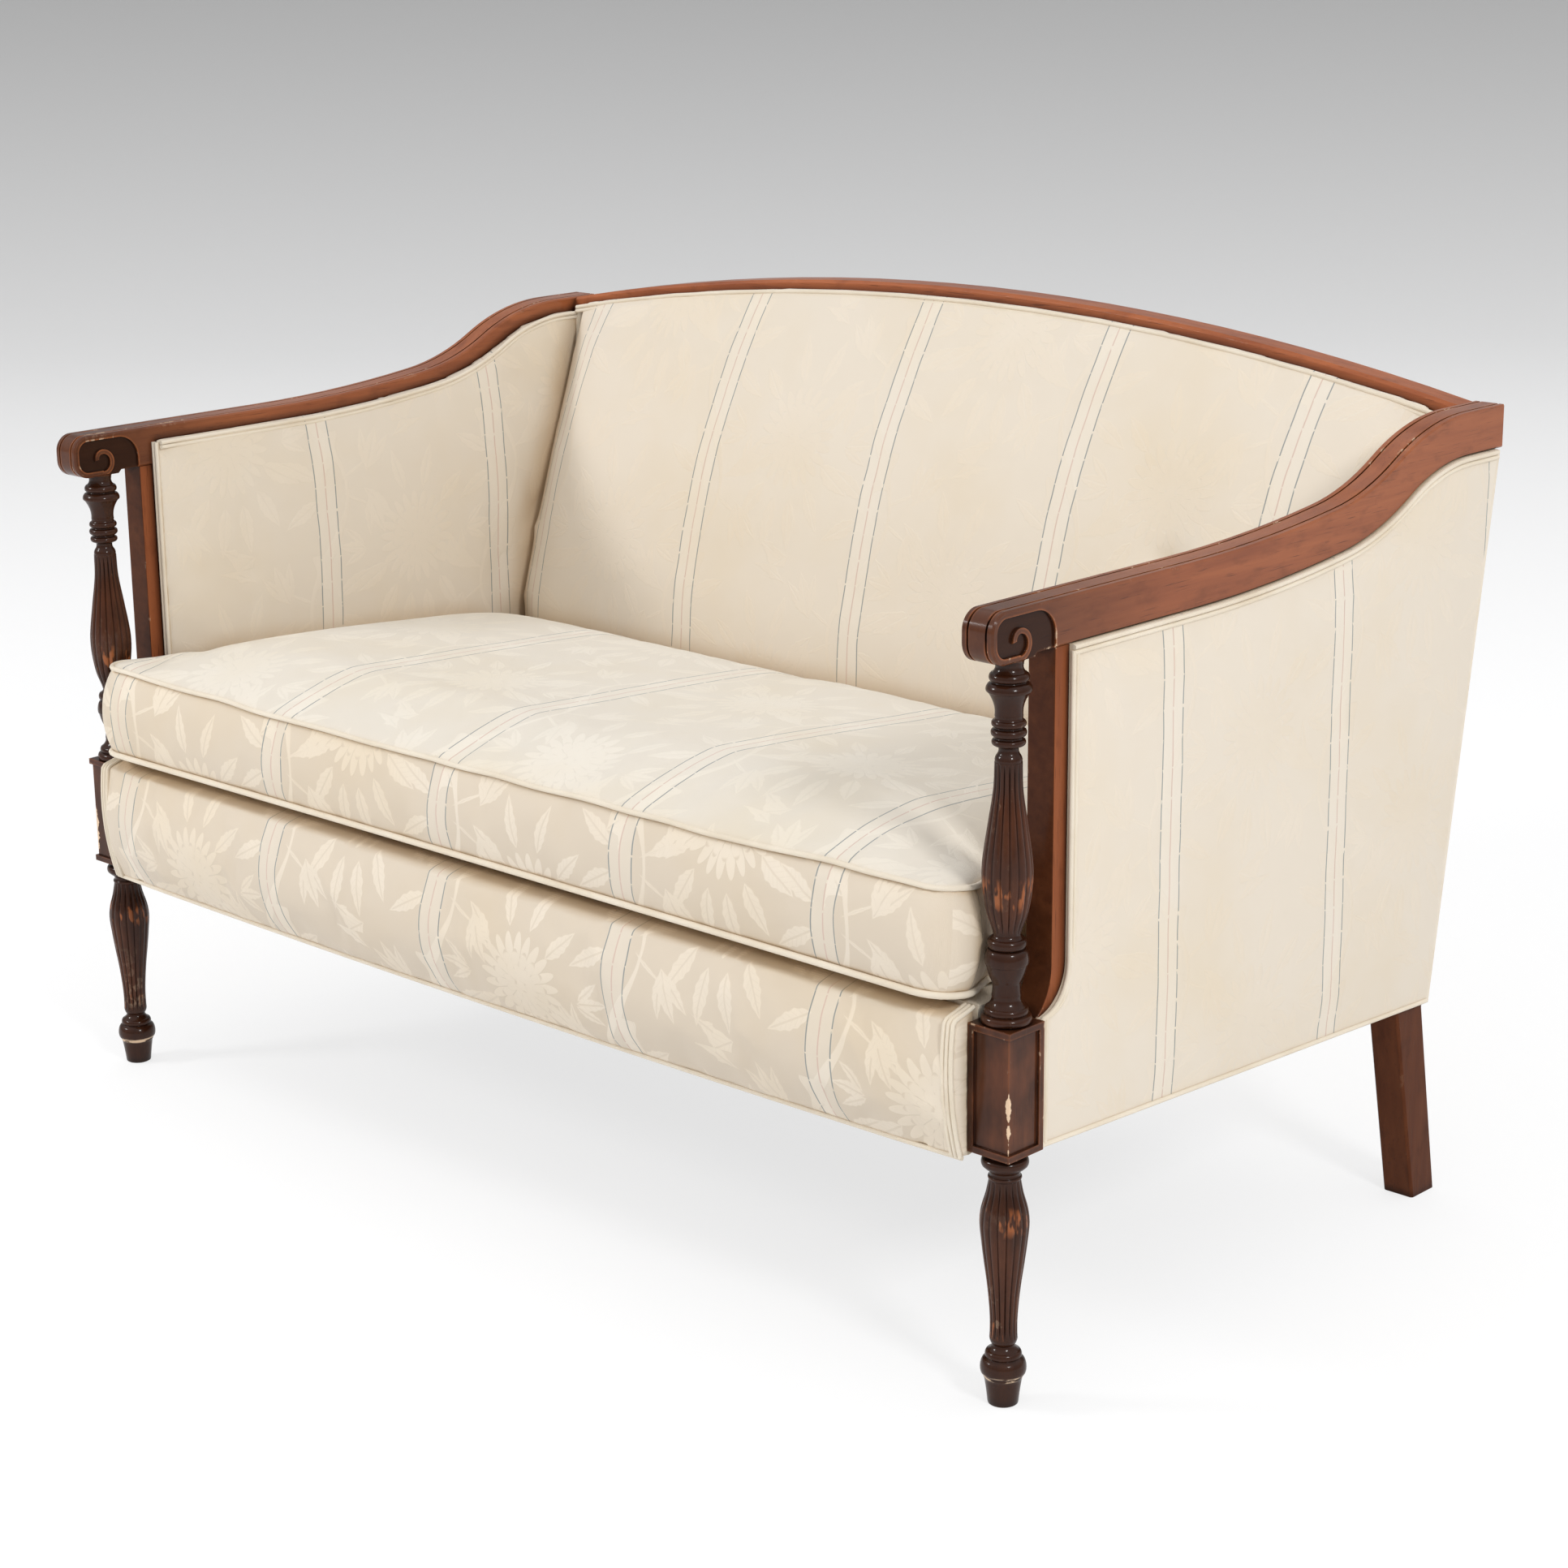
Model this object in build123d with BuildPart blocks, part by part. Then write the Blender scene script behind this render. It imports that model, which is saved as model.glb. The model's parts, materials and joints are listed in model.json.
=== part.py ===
from build123d import *
import math
import os

os.makedirs("parts", exist_ok=True)

# A two-seat show-wood settee: turned and reeded front posts, scrolled arms, an arched crest,
# tight upholstery on a hardwood frame and one loose seat cushion.
# Millimetres. X runs along the seat, Y from front to back, Z up from the floor.
# Distances called "run", "reach" or "y" are measured backwards from the axis of the front posts.

# Plan of the frame
post_spacing = 1220.0
arm_reach = 692.0
arm_overhang = 7.0
back_rake = 8.8
seat_pitch = 4.5
frame_pitch = 2.6

# Front posts
block_size = 44.5
block_bottom = 227.5
block_top = 340.0
panel_border = 6.0
panel_depth = 2.5
reed_count = 16
reed_depth = 1.8
reed_flat = 0.4
ring_flat = 0.4
foot_radius = 13.0
collar_radius = 13.2
base_radius = 19.0
cap_radius = 11.0
post_pin_radius = 8.0
post_pin_length = 22.0

# Turned steps, bottom to top: rise, radius at the end of the step, canted bulge (hollow if negative)
foot_steps = [
    (27.0, 16.6, 0.0),
    (15.0, 15.6, 3.4),
    (6.0, 14.6, 0.0),
    (5.5, 9.6, 0.0),
    (6.0, 11.9, 0.0),
]
collar_steps = [
    (3.2, 14.0, 0.0),
    (6.8, 16.4, 0.0),
    (9.0, 17.5, 2.6),
    (5.5, 15.5, 0.0),
]
base_steps = [
    (7.5, 18.6, 2.2),
    (6.5, 16.4, 0.0),
    (9.5, 12.3, 0.0),
    (11.0, 12.0, 0.0),
    (15.5, 17.2, 0.0),
    (13.0, 15.4, 1.6),
    (9.4, 13.8, 2.4),
    (4.0, 11.4, 0.0),
]
cap_steps = [
    (12.0, 8.4, 0.0),
    (2.0, 12.0, 0.0),
    (2.5, 14.1, 0.0),
    (2.5, 12.2, 0.0),
    (2.6, 12.4, 0.0),
    (3.0, 14.8, 0.0),
    (3.0, 12.6, 0.0),
    (2.0, 12.6, 0.0),
    (2.6, 13.9, 0.0),
    (2.6, 12.0, 0.0),
    (3.2, 11.6, 0.0),
    (11.0, 13.2, 0.0),
    (8.0, 17.0, 0.0),
    (8.0, 15.2, 2.4),
    (2.0, 14.8, 0.0),
    (3.2, 16.3, 0.0),
    (3.3, 13.6, 0.0),
    (7.0, 11.6, 0.0),
    (4.5, 13.2, 0.0),
]
# Swell of the reeded stretches: share of the reeded length, radius over the reeds
leg_swell = [(0.0, 11.7), (0.27, 13.2), (0.5, 17.6), (0.72, 21.0), (0.84, 19.0), (1.0, 13.4)]
baluster_swell = [
    (0.0, 11.6),
    (0.12, 17.1),
    (0.24, 20.2),
    (0.4, 21.1),
    (0.62, 16.6),
    (0.83, 12.2),
    (1.0, 11.4),
]

# Arm rails
arm_underside = 648.5
arm_depth = 40.0
arm_thickness = 33.0
arm_end_flat = 58.0
arm_sweep = [(1760.0, 7.1), (290.0, 22.05)]
arm_crown_radius = 190.0
arm_edge_chamfer = 1.6
groove_inset = 7.0
groove_width = 2.0
groove_depth = 2.0
scroll_reach = 40.5
scroll_drop = 3.5
scroll_heel = 17.5
scroll_corner = 17.0
field_border = 5.5
field_depth = 2.5
field_back = 38.0
field_corner = 24.0
curl_y = -6.0
curl_radius = 11.5
eye_radius = 7.0
curl_width = 4.5

# Arm stumps behind the balusters
stump_thickness = 28.0
stump_front = 40.5
stump_depth = 40.0
stump_curve_rise = 41.0
stump_show = 17.5

# Back posts, which run down into the rear legs
back_post_width = 33.0
leg_top_depth = 43.0
post_top_depth = 38.0
leg_foot_depth = 38.0
leg_kick = 36.0
leg_arris = 2.0

# Seat rails and braces
rail_top = 330.0
front_rail_thickness = 28.0
front_rail_bow = 10.0
back_rail_thickness = 28.0
back_rail_setback = 2.0
tenon_length = 16.0
tenon_thickness = 12.0
tenon_height = 56.0
tenon_low = 20.0
side_tenon_offset = 4.0
brace_width = 30.0
brace_height = 44.0
brace_lift = 6.0
corner_leg = 80.0
corner_notch = 20.0
corner_height = 40.0
corner_lift = 18.0

# Back frame
back_frame_thickness = 26.0
crest_proud = 5.0
crest_end_drop = 0.5
crest_rise = 57.0
crest_end_depth = 39.0
crest_mid_depth = 62.0
crest_chamfer = 3.0
crest_band = 9.0
lower_rail_height = 45.0
lower_rail_clear = 25.0
stay_width = 45.0
stay_thickness = 20.0
arm_rail_lift = 48.0
arm_rail_height = 32.0
arm_rail_thickness = 22.0
back_strap_lap = 29.5
dowel_radius = 5.0
dowel_length = 40.0
crest_dowel_gap = 18.0

# Webbing and upholstery
strap_width = 50.0
strap_thickness = 2.0
seat_strap_count = 7
cross_strap_count = 4
back_strap_count = 5
deck_thickness = 16.0
deck_front = -10.0
panel_thickness = 4.0
cover_thickness = 1.0
apron_bottom = 221.0
apron_top = 350.0
apron_shoulder = 343.0
apron_toe_y = -26.0
apron_bulge_y = -51.0
apron_shoulder_y = -36.0
apron_bow = 9.0
arm_pad_edge = 12.0
arm_pad_crown = 12.0
arm_pad_nose = 8.0
arm_pad_lap = 26.0
arm_pad_end_gap = 1.0
back_pad_foot_depth = 64.5
back_pad_lean = 6.0
back_pad_seat_rise = 124.0
back_pad_top_edge = 5.0
back_pad_crown = 9.0
back_pad_end_crown = 3.0
back_pad_end_gap = 6.0
back_pad_round = 26.0

# Stations along the pads: share of the length, then the depth at the edge and the share of the crown,
# or the share of the swell or of the rounding at the ends
apron_half = [(0.3, 1.0), (0.6, 1.0), (0.84, 1.0), (0.93, 0.8), (1.0, 0.35)]
arm_pad_stations = [(0.0, arm_pad_nose, 0.25), (0.04, arm_pad_edge, 0.8)]
arm_pad_shares = [0.16, 0.34, 0.48, 0.58, 0.64, 0.7, 0.76, 0.82, 0.9, 1.0]
arm_pad_stations += [(share, arm_pad_edge, 1.0) for share in arm_pad_shares]
back_pad_half = [(0.15, 0.0), (0.3, 0.0), (0.45, 0.0), (0.6, 0.0), (0.75, 0.0), (0.88, 0.0)]
back_pad_half += [(0.94, 0.08), (0.98, 0.38), (1.0, 1.0)]

# Loose cushion
cushion_front = -46.0
cushion_gap = 3.4
cushion_boxing = 86.0
cushion_foot = 5.0
cushion_foot_inset = 14.0
cushion_draw_in = 3.0
cushion_corner = 32.0
cushion_crown = [(8.0, 14.0), (17.0, 55.0), (23.0, 115.0), (26.0, 180.0)]
crown_corner = 60.0
welt_radius = 3.0
welt_sides = 8

# Clearances
joint_fit = 0.1
soft_gap = 0.3
arm_pad_gap = 1.2


def sine(angle):
    return math.sin(math.radians(angle))


def cosine(angle):
    return math.cos(math.radians(angle))


def tangent(angle):
    return math.tan(math.radians(angle))


# Levels and planes that several pieces share
post_x = post_spacing / 2
half_block = block_size / 2
arm_top = arm_underside + arm_depth
scroll_bottom = arm_underside - scroll_drop
arm_inner_x = post_x - arm_thickness / 2
side_outer_x = post_x + stump_thickness / 2
side_inner_x = post_x - stump_thickness / 2
back_post_inner_x = side_outer_x - back_post_width
arm_turns = arm_sweep + [(arm_crown_radius, -sum(turn for _, turn in arm_sweep))]
arm_sweep_run = 0.0
arm_heading = 0.0
for radius, turn in arm_turns:
    arm_sweep_run += math.copysign(radius, turn) * (sine(arm_heading + turn) - sine(arm_heading))
    arm_heading += turn
arm_level_run = arm_reach - arm_end_flat - arm_sweep_run


# Height of the arm's lower edge at a distance behind the front post
def arm_underside_z(y):
    start_y, start_z, heading = arm_level_run, arm_underside, 0.0
    if y <= start_y:
        return start_z
    for radius, turn in arm_turns:
        signed = math.copysign(radius, turn)
        end = heading + turn
        end_y = start_y + signed * (sine(end) - sine(heading))
        if y <= end_y:
            angle = math.asin(sine(heading) + (y - start_y) / signed)
            return start_z + signed * (cosine(heading) - math.cos(angle))
        start_z += signed * (cosine(heading) - cosine(end))
        start_y, heading = end_y, end
    return start_z


arm_end_underside = arm_underside_z(arm_reach)
arm_end_top = arm_end_underside + arm_depth
panel_slant = panel_thickness / cosine(back_rake)


# Rear face of the back frame, and the lower line of the seat frame
def back_y(z):
    return arm_reach - arm_overhang - panel_slant + (z - arm_end_underside) * tangent(back_rake)


def frame_bottom_z(y):
    return block_bottom - (y - half_block) * tangent(frame_pitch)


def seat_z(y, rise=0.0):
    return rail_top - y * tangent(seat_pitch) + rise / cosine(seat_pitch)


# Where a leaning upright line crosses a line that falls towards the back
def crossing_y(foot_y, lean, level_z, fall):
    return (foot_y + level_z * lean) / (1 + lean * fall)


heel_y = crossing_y(back_y(0), tangent(back_rake), frame_bottom_z(0), tangent(frame_pitch))
heel_z = frame_bottom_z(heel_y)
knee_y = heel_y - leg_top_depth
knee_z = frame_bottom_z(knee_y)
post_top_y = back_y(arm_end_underside)
back_post_slope = (post_top_y - post_top_depth - knee_y) / (arm_end_underside - knee_z)
back_rail_front_y = heel_y - back_rail_setback - back_rail_thickness
deck_rise = 2 * strap_thickness + deck_thickness
crest_end_top = arm_end_top - crest_end_drop
crest_mid_top = crest_end_top + crest_rise
crest_proud_slant = crest_proud / cosine(back_rake)
front_reach = apron_bow - apron_bulge_y
back_reach = back_y(crest_mid_top - crest_chamfer * cosine(back_rake)) + crest_proud_slant
post_y = (front_reach - back_reach) / 2


def back_post_front_y(z):
    return knee_y + (z - knee_z) * back_post_slope


# Upright plane across the settee's side at x, with Y measured from the front post
def side_plane(x):
    return Plane(origin=(x, post_y, 0), x_dir=(0, 1, 0), z_dir=(1, 0, 0))


# Upright plane along the settee, a distance behind the front posts
def face_plane(y):
    return Plane(origin=(0, post_y + y, 0), x_dir=(1, 0, 0), z_dir=(0, -1, 0))


seat_plane = Plane(
    origin=(0, post_y, rail_top), x_dir=(1, 0, 0), z_dir=(0, sine(seat_pitch), cosine(seat_pitch))
)
frame_plane = Plane(
    origin=(0, post_y + half_block, block_bottom),
    x_dir=(1, 0, 0),
    z_dir=(0, sine(frame_pitch), cosine(frame_pitch)),
)
# Rear face of the back frame: local Y runs up the rake and local Z comes forward
back_plane = Plane(
    origin=(0, post_y + back_y(0), 0),
    x_dir=(1, 0, 0),
    z_dir=(0, -cosine(back_rake), sine(back_rake)),
)


# Front posts


# One turned stretch from a radius at a height, following a list of steps
def turned(x, z, radius, steps):
    plane = Plane(origin=(x, post_y, 0), x_dir=(1, 0, 0), z_dir=(0, -1, 0))
    with BuildSketch(plane) as half_profile:
        with BuildLine():
            here = (radius, z)
            Line((0, z), here)
            for rise, step_radius, bulge in steps:
                there = (step_radius, here[1] + rise)
                if bulge:
                    cant = (1 - ring_flat) / 2
                    lower = (here[0] + cant * (there[0] - here[0]) + bulge, here[1] + cant * rise)
                    upper = (there[0] - cant * (there[0] - here[0]) + bulge, there[1] - cant * rise)
                    Polyline(here, lower, upper, there)
                else:
                    Line(here, there)
                here = there
            Line(here, (0, here[1]))
            Line((0, here[1]), (0, z))
        make_face()
    revolve(half_profile.sketch, axis=Axis((x, post_y, 0), (0, 0, 1)))


# One reeded stretch: rings of canted reeds, lofted straight from ring to ring along the swell
def reeded(x, z_low, z_high, swell):
    step = 360 / reed_count
    rings = []
    for share, radius in swell:
        valley = radius - reed_depth
        crest = [(valley, 0), (radius, (1 - reed_flat) / 2), (radius, (1 + reed_flat) / 2)]
        corners = [(r, (reed + turn) * step) for reed in range(reed_count) for r, turn in crest]
        with BuildSketch(Plane(origin=(x, post_y, z_low + share * (z_high - z_low)))) as ring:
            with BuildLine():
                Polyline(*[(r * cosine(angle), r * sine(angle)) for r, angle in corners], close=True)
            make_face()
        rings.append(ring.sketch.face())
    loft(rings, ruled=True)


def height_of(steps):
    return sum(rise for rise, _, _ in steps)


tenon_z = block_bottom + tenon_low + tenon_height / 2
front_tenon_x = post_x - half_block + tenon_length / 2
side_tenon_x = post_x + side_tenon_offset

with BuildPart() as front_post_right:
    turned(post_x, 0, foot_radius, foot_steps)
    reeded(post_x, height_of(foot_steps), block_bottom - height_of(collar_steps), leg_swell)
    turned(post_x, block_bottom - height_of(collar_steps), collar_radius, collar_steps)
    with BuildSketch(Plane.XY.offset(block_bottom)):
        with Locations((post_x, post_y)):
            Rectangle(block_size, block_size)
    extrude(amount=block_top - block_bottom)
    turned(post_x, block_top, base_radius, base_steps)
    reeded(post_x, block_top + height_of(base_steps), scroll_bottom - height_of(cap_steps), baluster_swell)
    turned(post_x, scroll_bottom - height_of(cap_steps), cap_radius, cap_steps)
    with Locations((post_x, post_y, scroll_bottom)):
        Cylinder(post_pin_radius, post_pin_length, align=(Align.CENTER, Align.CENTER, Align.MIN))
    # Sunk panels on the front and outer faces, open at the corner that they share
    with BuildSketch(Plane.XY.offset(block_bottom + panel_border)):
        with BuildLine():
            inner = post_x - half_block + panel_border
            outer = post_x + half_block
            front = post_y - half_block
            back = post_y + half_block - panel_border
            Polyline(
                (inner, front),
                (outer, front),
                (outer, back),
                (outer - panel_depth, back),
                (outer - panel_depth, front + panel_depth),
                (inner, front + panel_depth),
                close=True,
            )
        make_face()
    extrude(amount=block_top - block_bottom - 2 * panel_border, mode=Mode.SUBTRACT)
    # Mortises for the front and side rails
    with Locations((front_tenon_x, post_y, tenon_z)):
        Box(
            tenon_length + 2 * joint_fit,
            tenon_thickness + 2 * joint_fit,
            tenon_height + 2 * joint_fit,
            mode=Mode.SUBTRACT,
        )
    with Locations((side_tenon_x, post_y + half_block - tenon_length / 2, tenon_z)):
        Box(
            tenon_thickness + 2 * joint_fit,
            tenon_length + 2 * joint_fit,
            tenon_height + 2 * joint_fit,
            mode=Mode.SUBTRACT,
        )


# Arm rails


# A long edge of the arm, a lift above the underside, from start_y to the back end
def arm_edge(start_y, height, lift):
    run = Line((start_y, height), (arm_level_run, height))
    for radius, turn in arm_turns:
        run = JernArc(run @ 1, run % 1, radius - math.copysign(lift, turn), turn)
    return Line(run @ 1, (arm_reach, (run @ 1).Y))


# The moulded edge: under the scroll, up its nose and back along the top, drawn in by inset
def moulded_edge(inset):
    corner = scroll_corner - inset
    lower = JernArc((scroll_corner - scroll_reach, scroll_bottom + inset), (-1, 0), corner, -90)
    nose_height = arm_top - scroll_bottom - 2 * scroll_corner
    nose = Line(lower @ 1, (lower @ 1) + Vector(0, nose_height))
    upper = JernArc(nose @ 1, nose % 1, corner, -90)
    top = arm_edge((upper @ 1).X, arm_top - inset, arm_depth - inset)
    return lower @ 0, top @ 1


# The sunk field on the scroll's side, with a raised border that curls into the volute
def volute_field(x):
    field_top = arm_top - field_border
    field_low = scroll_bottom + field_border
    with BuildSketch(side_plane(x)) as field:
        with BuildLine():
            back = Line((field_back, scroll_bottom - field_depth), (field_back, field_top - field_corner))
            shoulder = JernArc(back @ 1, back % 1, field_corner, 90)
            top = Line(shoulder @ 1, (scroll_corner - scroll_reach, field_top))
            upper = JernArc(top @ 1, top % 1, scroll_corner - field_border, 90)
            nose = Line(upper @ 1, (field_border - scroll_reach, scroll_bottom + scroll_corner))
            lower = JernArc(nose @ 1, nose % 1, scroll_corner - field_border, 90)
            low = Line(lower @ 1, (curl_y, field_low))
            step = Line(low @ 1, (curl_y, scroll_bottom - field_depth))
            Line(step @ 1, back @ 0)
        make_face()
        with BuildLine(mode=Mode.PRIVATE) as curl:
            rise = JernArc((curl_y, scroll_bottom + curl_width / 2), (1, 0), curl_radius, 180)
            JernArc(rise @ 1, rise % 1, eye_radius, 200)
        trace(curl.line, line_width=curl_width, mode=Mode.SUBTRACT)
    return field.sketch


stump_mid_y = stump_front + stump_depth / 2
back_post_mid_y = post_top_y - post_top_depth / 2
crest_dowel_depth = (back_frame_thickness - crest_proud) / 2
crest_dowel_z = crest_end_top - crest_end_depth / 2
crest_dowel_y = back_y(crest_dowel_z) - crest_dowel_depth / cosine(back_rake)
crest_dowel_spots = [
    (arm_inner_x, post_y + crest_dowel_y, crest_dowel_z - crest_dowel_gap / 2),
    (arm_inner_x, post_y + crest_dowel_y, crest_dowel_z + crest_dowel_gap / 2),
]
arm_dowel_spots = [
    (post_x, post_y + stump_mid_y, arm_underside),
    (post_x, post_y + back_post_mid_y, arm_end_underside),
]
bore_radius = dowel_radius + joint_fit
bore_length = dowel_length + 2 * joint_fit

with BuildPart() as arm_rail_right:
    with BuildSketch(side_plane(arm_inner_x)):
        with BuildLine():
            under = arm_edge(scroll_heel, arm_underside, 0)
            start, end = moulded_edge(0)
            Line(under @ 1, end)
            chamfer_foot = (scroll_heel - scroll_drop, scroll_bottom)
            Line((scroll_heel, arm_underside), chamfer_foot)
            Line(chamfer_foot, start)
        make_face()
    extrude(amount=arm_thickness)
    arm_sides = arm_rail_right.faces().filter_by(Axis.X).sort_by(Axis.X)
    chamfer(arm_sides[0].edges() + arm_sides[-1].edges(), length=arm_edge_chamfer)
    # Two grooves leave a bead on each edge and a flat between them
    for groove_x in (arm_inner_x + groove_inset, arm_inner_x + arm_thickness - groove_inset):
        with BuildSketch(side_plane(groove_x)):
            with BuildLine():
                outer_start, outer_end = moulded_edge(0)
                inner_start, inner_end = moulded_edge(groove_depth)
                Line(outer_start, inner_start)
                Line(outer_end, inner_end)
            make_face()
        extrude(amount=groove_width / 2, both=True, mode=Mode.SUBTRACT)
    extrude(volute_field(arm_inner_x), amount=field_depth, mode=Mode.SUBTRACT)
    extrude(volute_field(arm_inner_x + arm_thickness), amount=-field_depth, mode=Mode.SUBTRACT)
    with Locations((post_x, post_y, scroll_bottom)):
        Cylinder(
            post_pin_radius + joint_fit,
            post_pin_length + joint_fit,
            align=(Align.CENTER, Align.CENTER, Align.MIN),
            mode=Mode.SUBTRACT,
        )
    with Locations(*arm_dowel_spots):
        Cylinder(bore_radius, bore_length, mode=Mode.SUBTRACT)
    with Locations(*crest_dowel_spots):
        Cylinder(bore_radius, bore_length, rotation=(0, 90, 0), mode=Mode.SUBTRACT)


# Arm stumps, whose feet sweep forward to the posts' blocks

rail_seat_rise = strap_thickness
stump_back = stump_front + stump_depth

with BuildPart() as arm_stump_right:
    with BuildSketch(side_plane(side_inner_x)):
        with BuildLine():
            front = Line((stump_front, arm_underside), (stump_front, block_top + stump_curve_rise))
            toe = TangentArc(front @ 1, (half_block, block_top), tangent=front % 1)
            rail_front = (half_block, seat_z(half_block, rail_seat_rise))
            rail_back = (stump_back, seat_z(stump_back, rail_seat_rise))
            Polyline(toe @ 1, rail_front, rail_back, (stump_back, arm_underside), front @ 0)
        make_face()
    extrude(amount=stump_thickness)
    with Locations(arm_dowel_spots[0]):
        Cylinder(bore_radius, bore_length, mode=Mode.SUBTRACT)


# Back posts: raked uprights that kick back below the seat as the rear legs

leg_back_y = heel_y + leg_kick
back_tenon_z = heel_z + tenon_low + tenon_height / 2
back_tenon_x = back_post_inner_x + tenon_length / 2
back_tenon_y = back_rail_front_y + back_rail_thickness / 2
rear_tenon_z = knee_z + tenon_low + tenon_height / 2
rear_tenon_y = back_post_front_y(rear_tenon_z)

with BuildPart() as back_post_right:
    with BuildSketch(side_plane(back_post_inner_x)):
        with BuildLine():
            Polyline(
                (leg_back_y - leg_foot_depth, 0),
                (leg_back_y, 0),
                (heel_y, heel_z),
                (post_top_y, arm_end_underside),
                (post_top_y - post_top_depth, arm_end_underside),
                (knee_y, knee_z),
                close=True,
            )
        make_face()
    extrude(amount=back_post_width)
    leg_edges = back_post_right.edges().filter_by(lambda edge: 0 < edge.center().Z < heel_z)
    chamfer(leg_edges.filter_by(Plane.YZ), length=leg_arris)
    with Locations((side_tenon_x, post_y + rear_tenon_y, rear_tenon_z)):
        Box(
            tenon_thickness + 2 * joint_fit,
            2 * (tenon_length + joint_fit),
            tenon_height + 2 * joint_fit,
            mode=Mode.SUBTRACT,
        )
    with Locations((back_tenon_x, post_y + back_tenon_y, back_tenon_z)):
        Box(
            tenon_length + 2 * joint_fit,
            tenon_thickness + 2 * joint_fit,
            tenon_height + 2 * joint_fit,
            mode=Mode.SUBTRACT,
        )
    with Locations(arm_dowel_spots[1]):
        Cylinder(bore_radius, bore_length, mode=Mode.SUBTRACT)


# Corner blocks, glued into the angles of the seat frame

front_rail_half = front_rail_thickness / 2
front_corner_y = post_y + front_rail_half
back_corner_y = post_y + back_rail_front_y

with BuildPart() as corner_blocks:
    for side in (1, -1):
        for corner_y, forward in ((front_corner_y, 1), (back_corner_y, -1)):
            with BuildSketch(Plane.XY.offset(frame_bottom_z(corner_y - post_y) + corner_lift)):
                with BuildLine():
                    Polyline(
                        (side * side_inner_x, corner_y + forward * corner_notch),
                        (side * side_inner_x, corner_y + forward * corner_leg),
                        (side * (side_inner_x - corner_leg), corner_y),
                        (side * (side_inner_x - corner_notch), corner_y),
                        close=True,
                    )
                make_face()
            extrude(amount=corner_height)


# Seat rails

front_rail_end = post_x - half_block

with BuildPart() as front_seat_rail:
    with BuildSketch(Plane.XY):
        with BuildLine():
            front = post_y - front_rail_half
            ThreePointArc((-front_rail_end, front), (0, front - front_rail_bow), (front_rail_end, front))
            Polyline(
                (front_rail_end, front),
                (front_rail_end, front_corner_y),
                (-front_rail_end, front_corner_y),
                (-front_rail_end, front),
            )
        make_face()
    extrude(amount=block_top)
    split(bisect_by=seat_plane, keep=Keep.BOTTOM)
    split(bisect_by=frame_plane, keep=Keep.TOP)
    with Locations((front_tenon_x, post_y, tenon_z), (-front_tenon_x, post_y, tenon_z)):
        Box(tenon_length, tenon_thickness, tenon_height)

with BuildPart() as back_seat_rail:
    with BuildSketch(Plane.XY):
        with Locations((0, post_y + back_tenon_y)):
            Rectangle(2 * back_post_inner_x, back_rail_thickness)
    extrude(amount=block_top)
    split(bisect_by=seat_plane, keep=Keep.BOTTOM)
    split(bisect_by=frame_plane, keep=Keep.TOP)
    with Locations((0, post_y + back_tenon_y, back_tenon_z)):
        with GridLocations(2 * back_tenon_x, 1, 2, 1):
            Box(tenon_length, tenon_thickness, tenon_height)

side_rail_back_y = crossing_y(
    back_post_front_y(0), back_post_slope, seat_z(0, rail_seat_rise), tangent(seat_pitch)
)

with BuildPart() as side_seat_rail_right:
    with BuildSketch(side_plane(side_inner_x)):
        with BuildLine():
            Polyline(
                (half_block, block_bottom),
                (half_block, seat_z(half_block, rail_seat_rise)),
                (side_rail_back_y, seat_z(side_rail_back_y, rail_seat_rise)),
                (knee_y, knee_z),
                close=True,
            )
        make_face()
    extrude(amount=stump_thickness)
    with Locations((side_tenon_x, post_y + half_block - tenon_length / 2, tenon_z)):
        Box(tenon_thickness, tenon_length, tenon_height)
    with Locations((side_tenon_x, post_y + rear_tenon_y, rear_tenon_z)):
        Box(tenon_thickness, 2 * tenon_length, tenon_height)

with BuildPart() as seat_cross_brace:
    with BuildSketch(side_plane(-brace_width / 2)):
        with BuildLine():
            low_front = frame_bottom_z(front_rail_half) + brace_lift
            low_back = frame_bottom_z(back_rail_front_y) + brace_lift
            Polyline(
                (front_rail_half, low_front),
                (back_rail_front_y, low_back),
                (back_rail_front_y, low_back + brace_height),
                (front_rail_half, low_front + brace_height),
                close=True,
            )
        make_face()
    extrude(amount=brace_width)


# Back frame, in the raked plane: crest, lower rail and centre stay

crest_chord = arm_inner_x
crest_radius = (crest_chord**2 + crest_rise**2) / (2 * crest_rise)
crest_end_low = crest_end_top - crest_end_depth
crest_mid_low = crest_mid_top - crest_mid_depth


# An arc along the crest, from one end over the middle to the other
def crest_arc(half, end_z, mid_z):
    return ThreePointArc((-half, end_z), (0, mid_z), (half, end_z))


def crest_top_z(x):
    return crest_mid_top - crest_radius + math.sqrt(crest_radius**2 - x**2)


with BuildPart() as crest_rail:
    with BuildSketch(face_plane(arm_reach)):
        with BuildLine():
            top = crest_arc(crest_chord, crest_end_top, crest_mid_top)
            low = crest_arc(crest_chord, crest_end_low, crest_mid_low)
            Line(top @ 0, low @ 0)
            Line(top @ 1, low @ 1)
        make_face()
    extrude(amount=2 * crest_mid_depth, both=True)
    split(bisect_by=back_plane.offset(-crest_proud), keep=Keep.TOP)
    split(bisect_by=back_plane.offset(back_frame_thickness), keep=Keep.BOTTOM)
    crest_top_edges = crest_rail.faces().sort_by(Axis.Z)[-1].edges()
    chamfer(crest_top_edges.filter_by(GeomType.LINE, reverse=True), length=crest_chamfer)
    with Locations(*crest_dowel_spots, *[(-x, y, z) for x, y, z in crest_dowel_spots]):
        Cylinder(bore_radius, bore_length, rotation=(0, 90, 0), mode=Mode.SUBTRACT)

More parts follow.
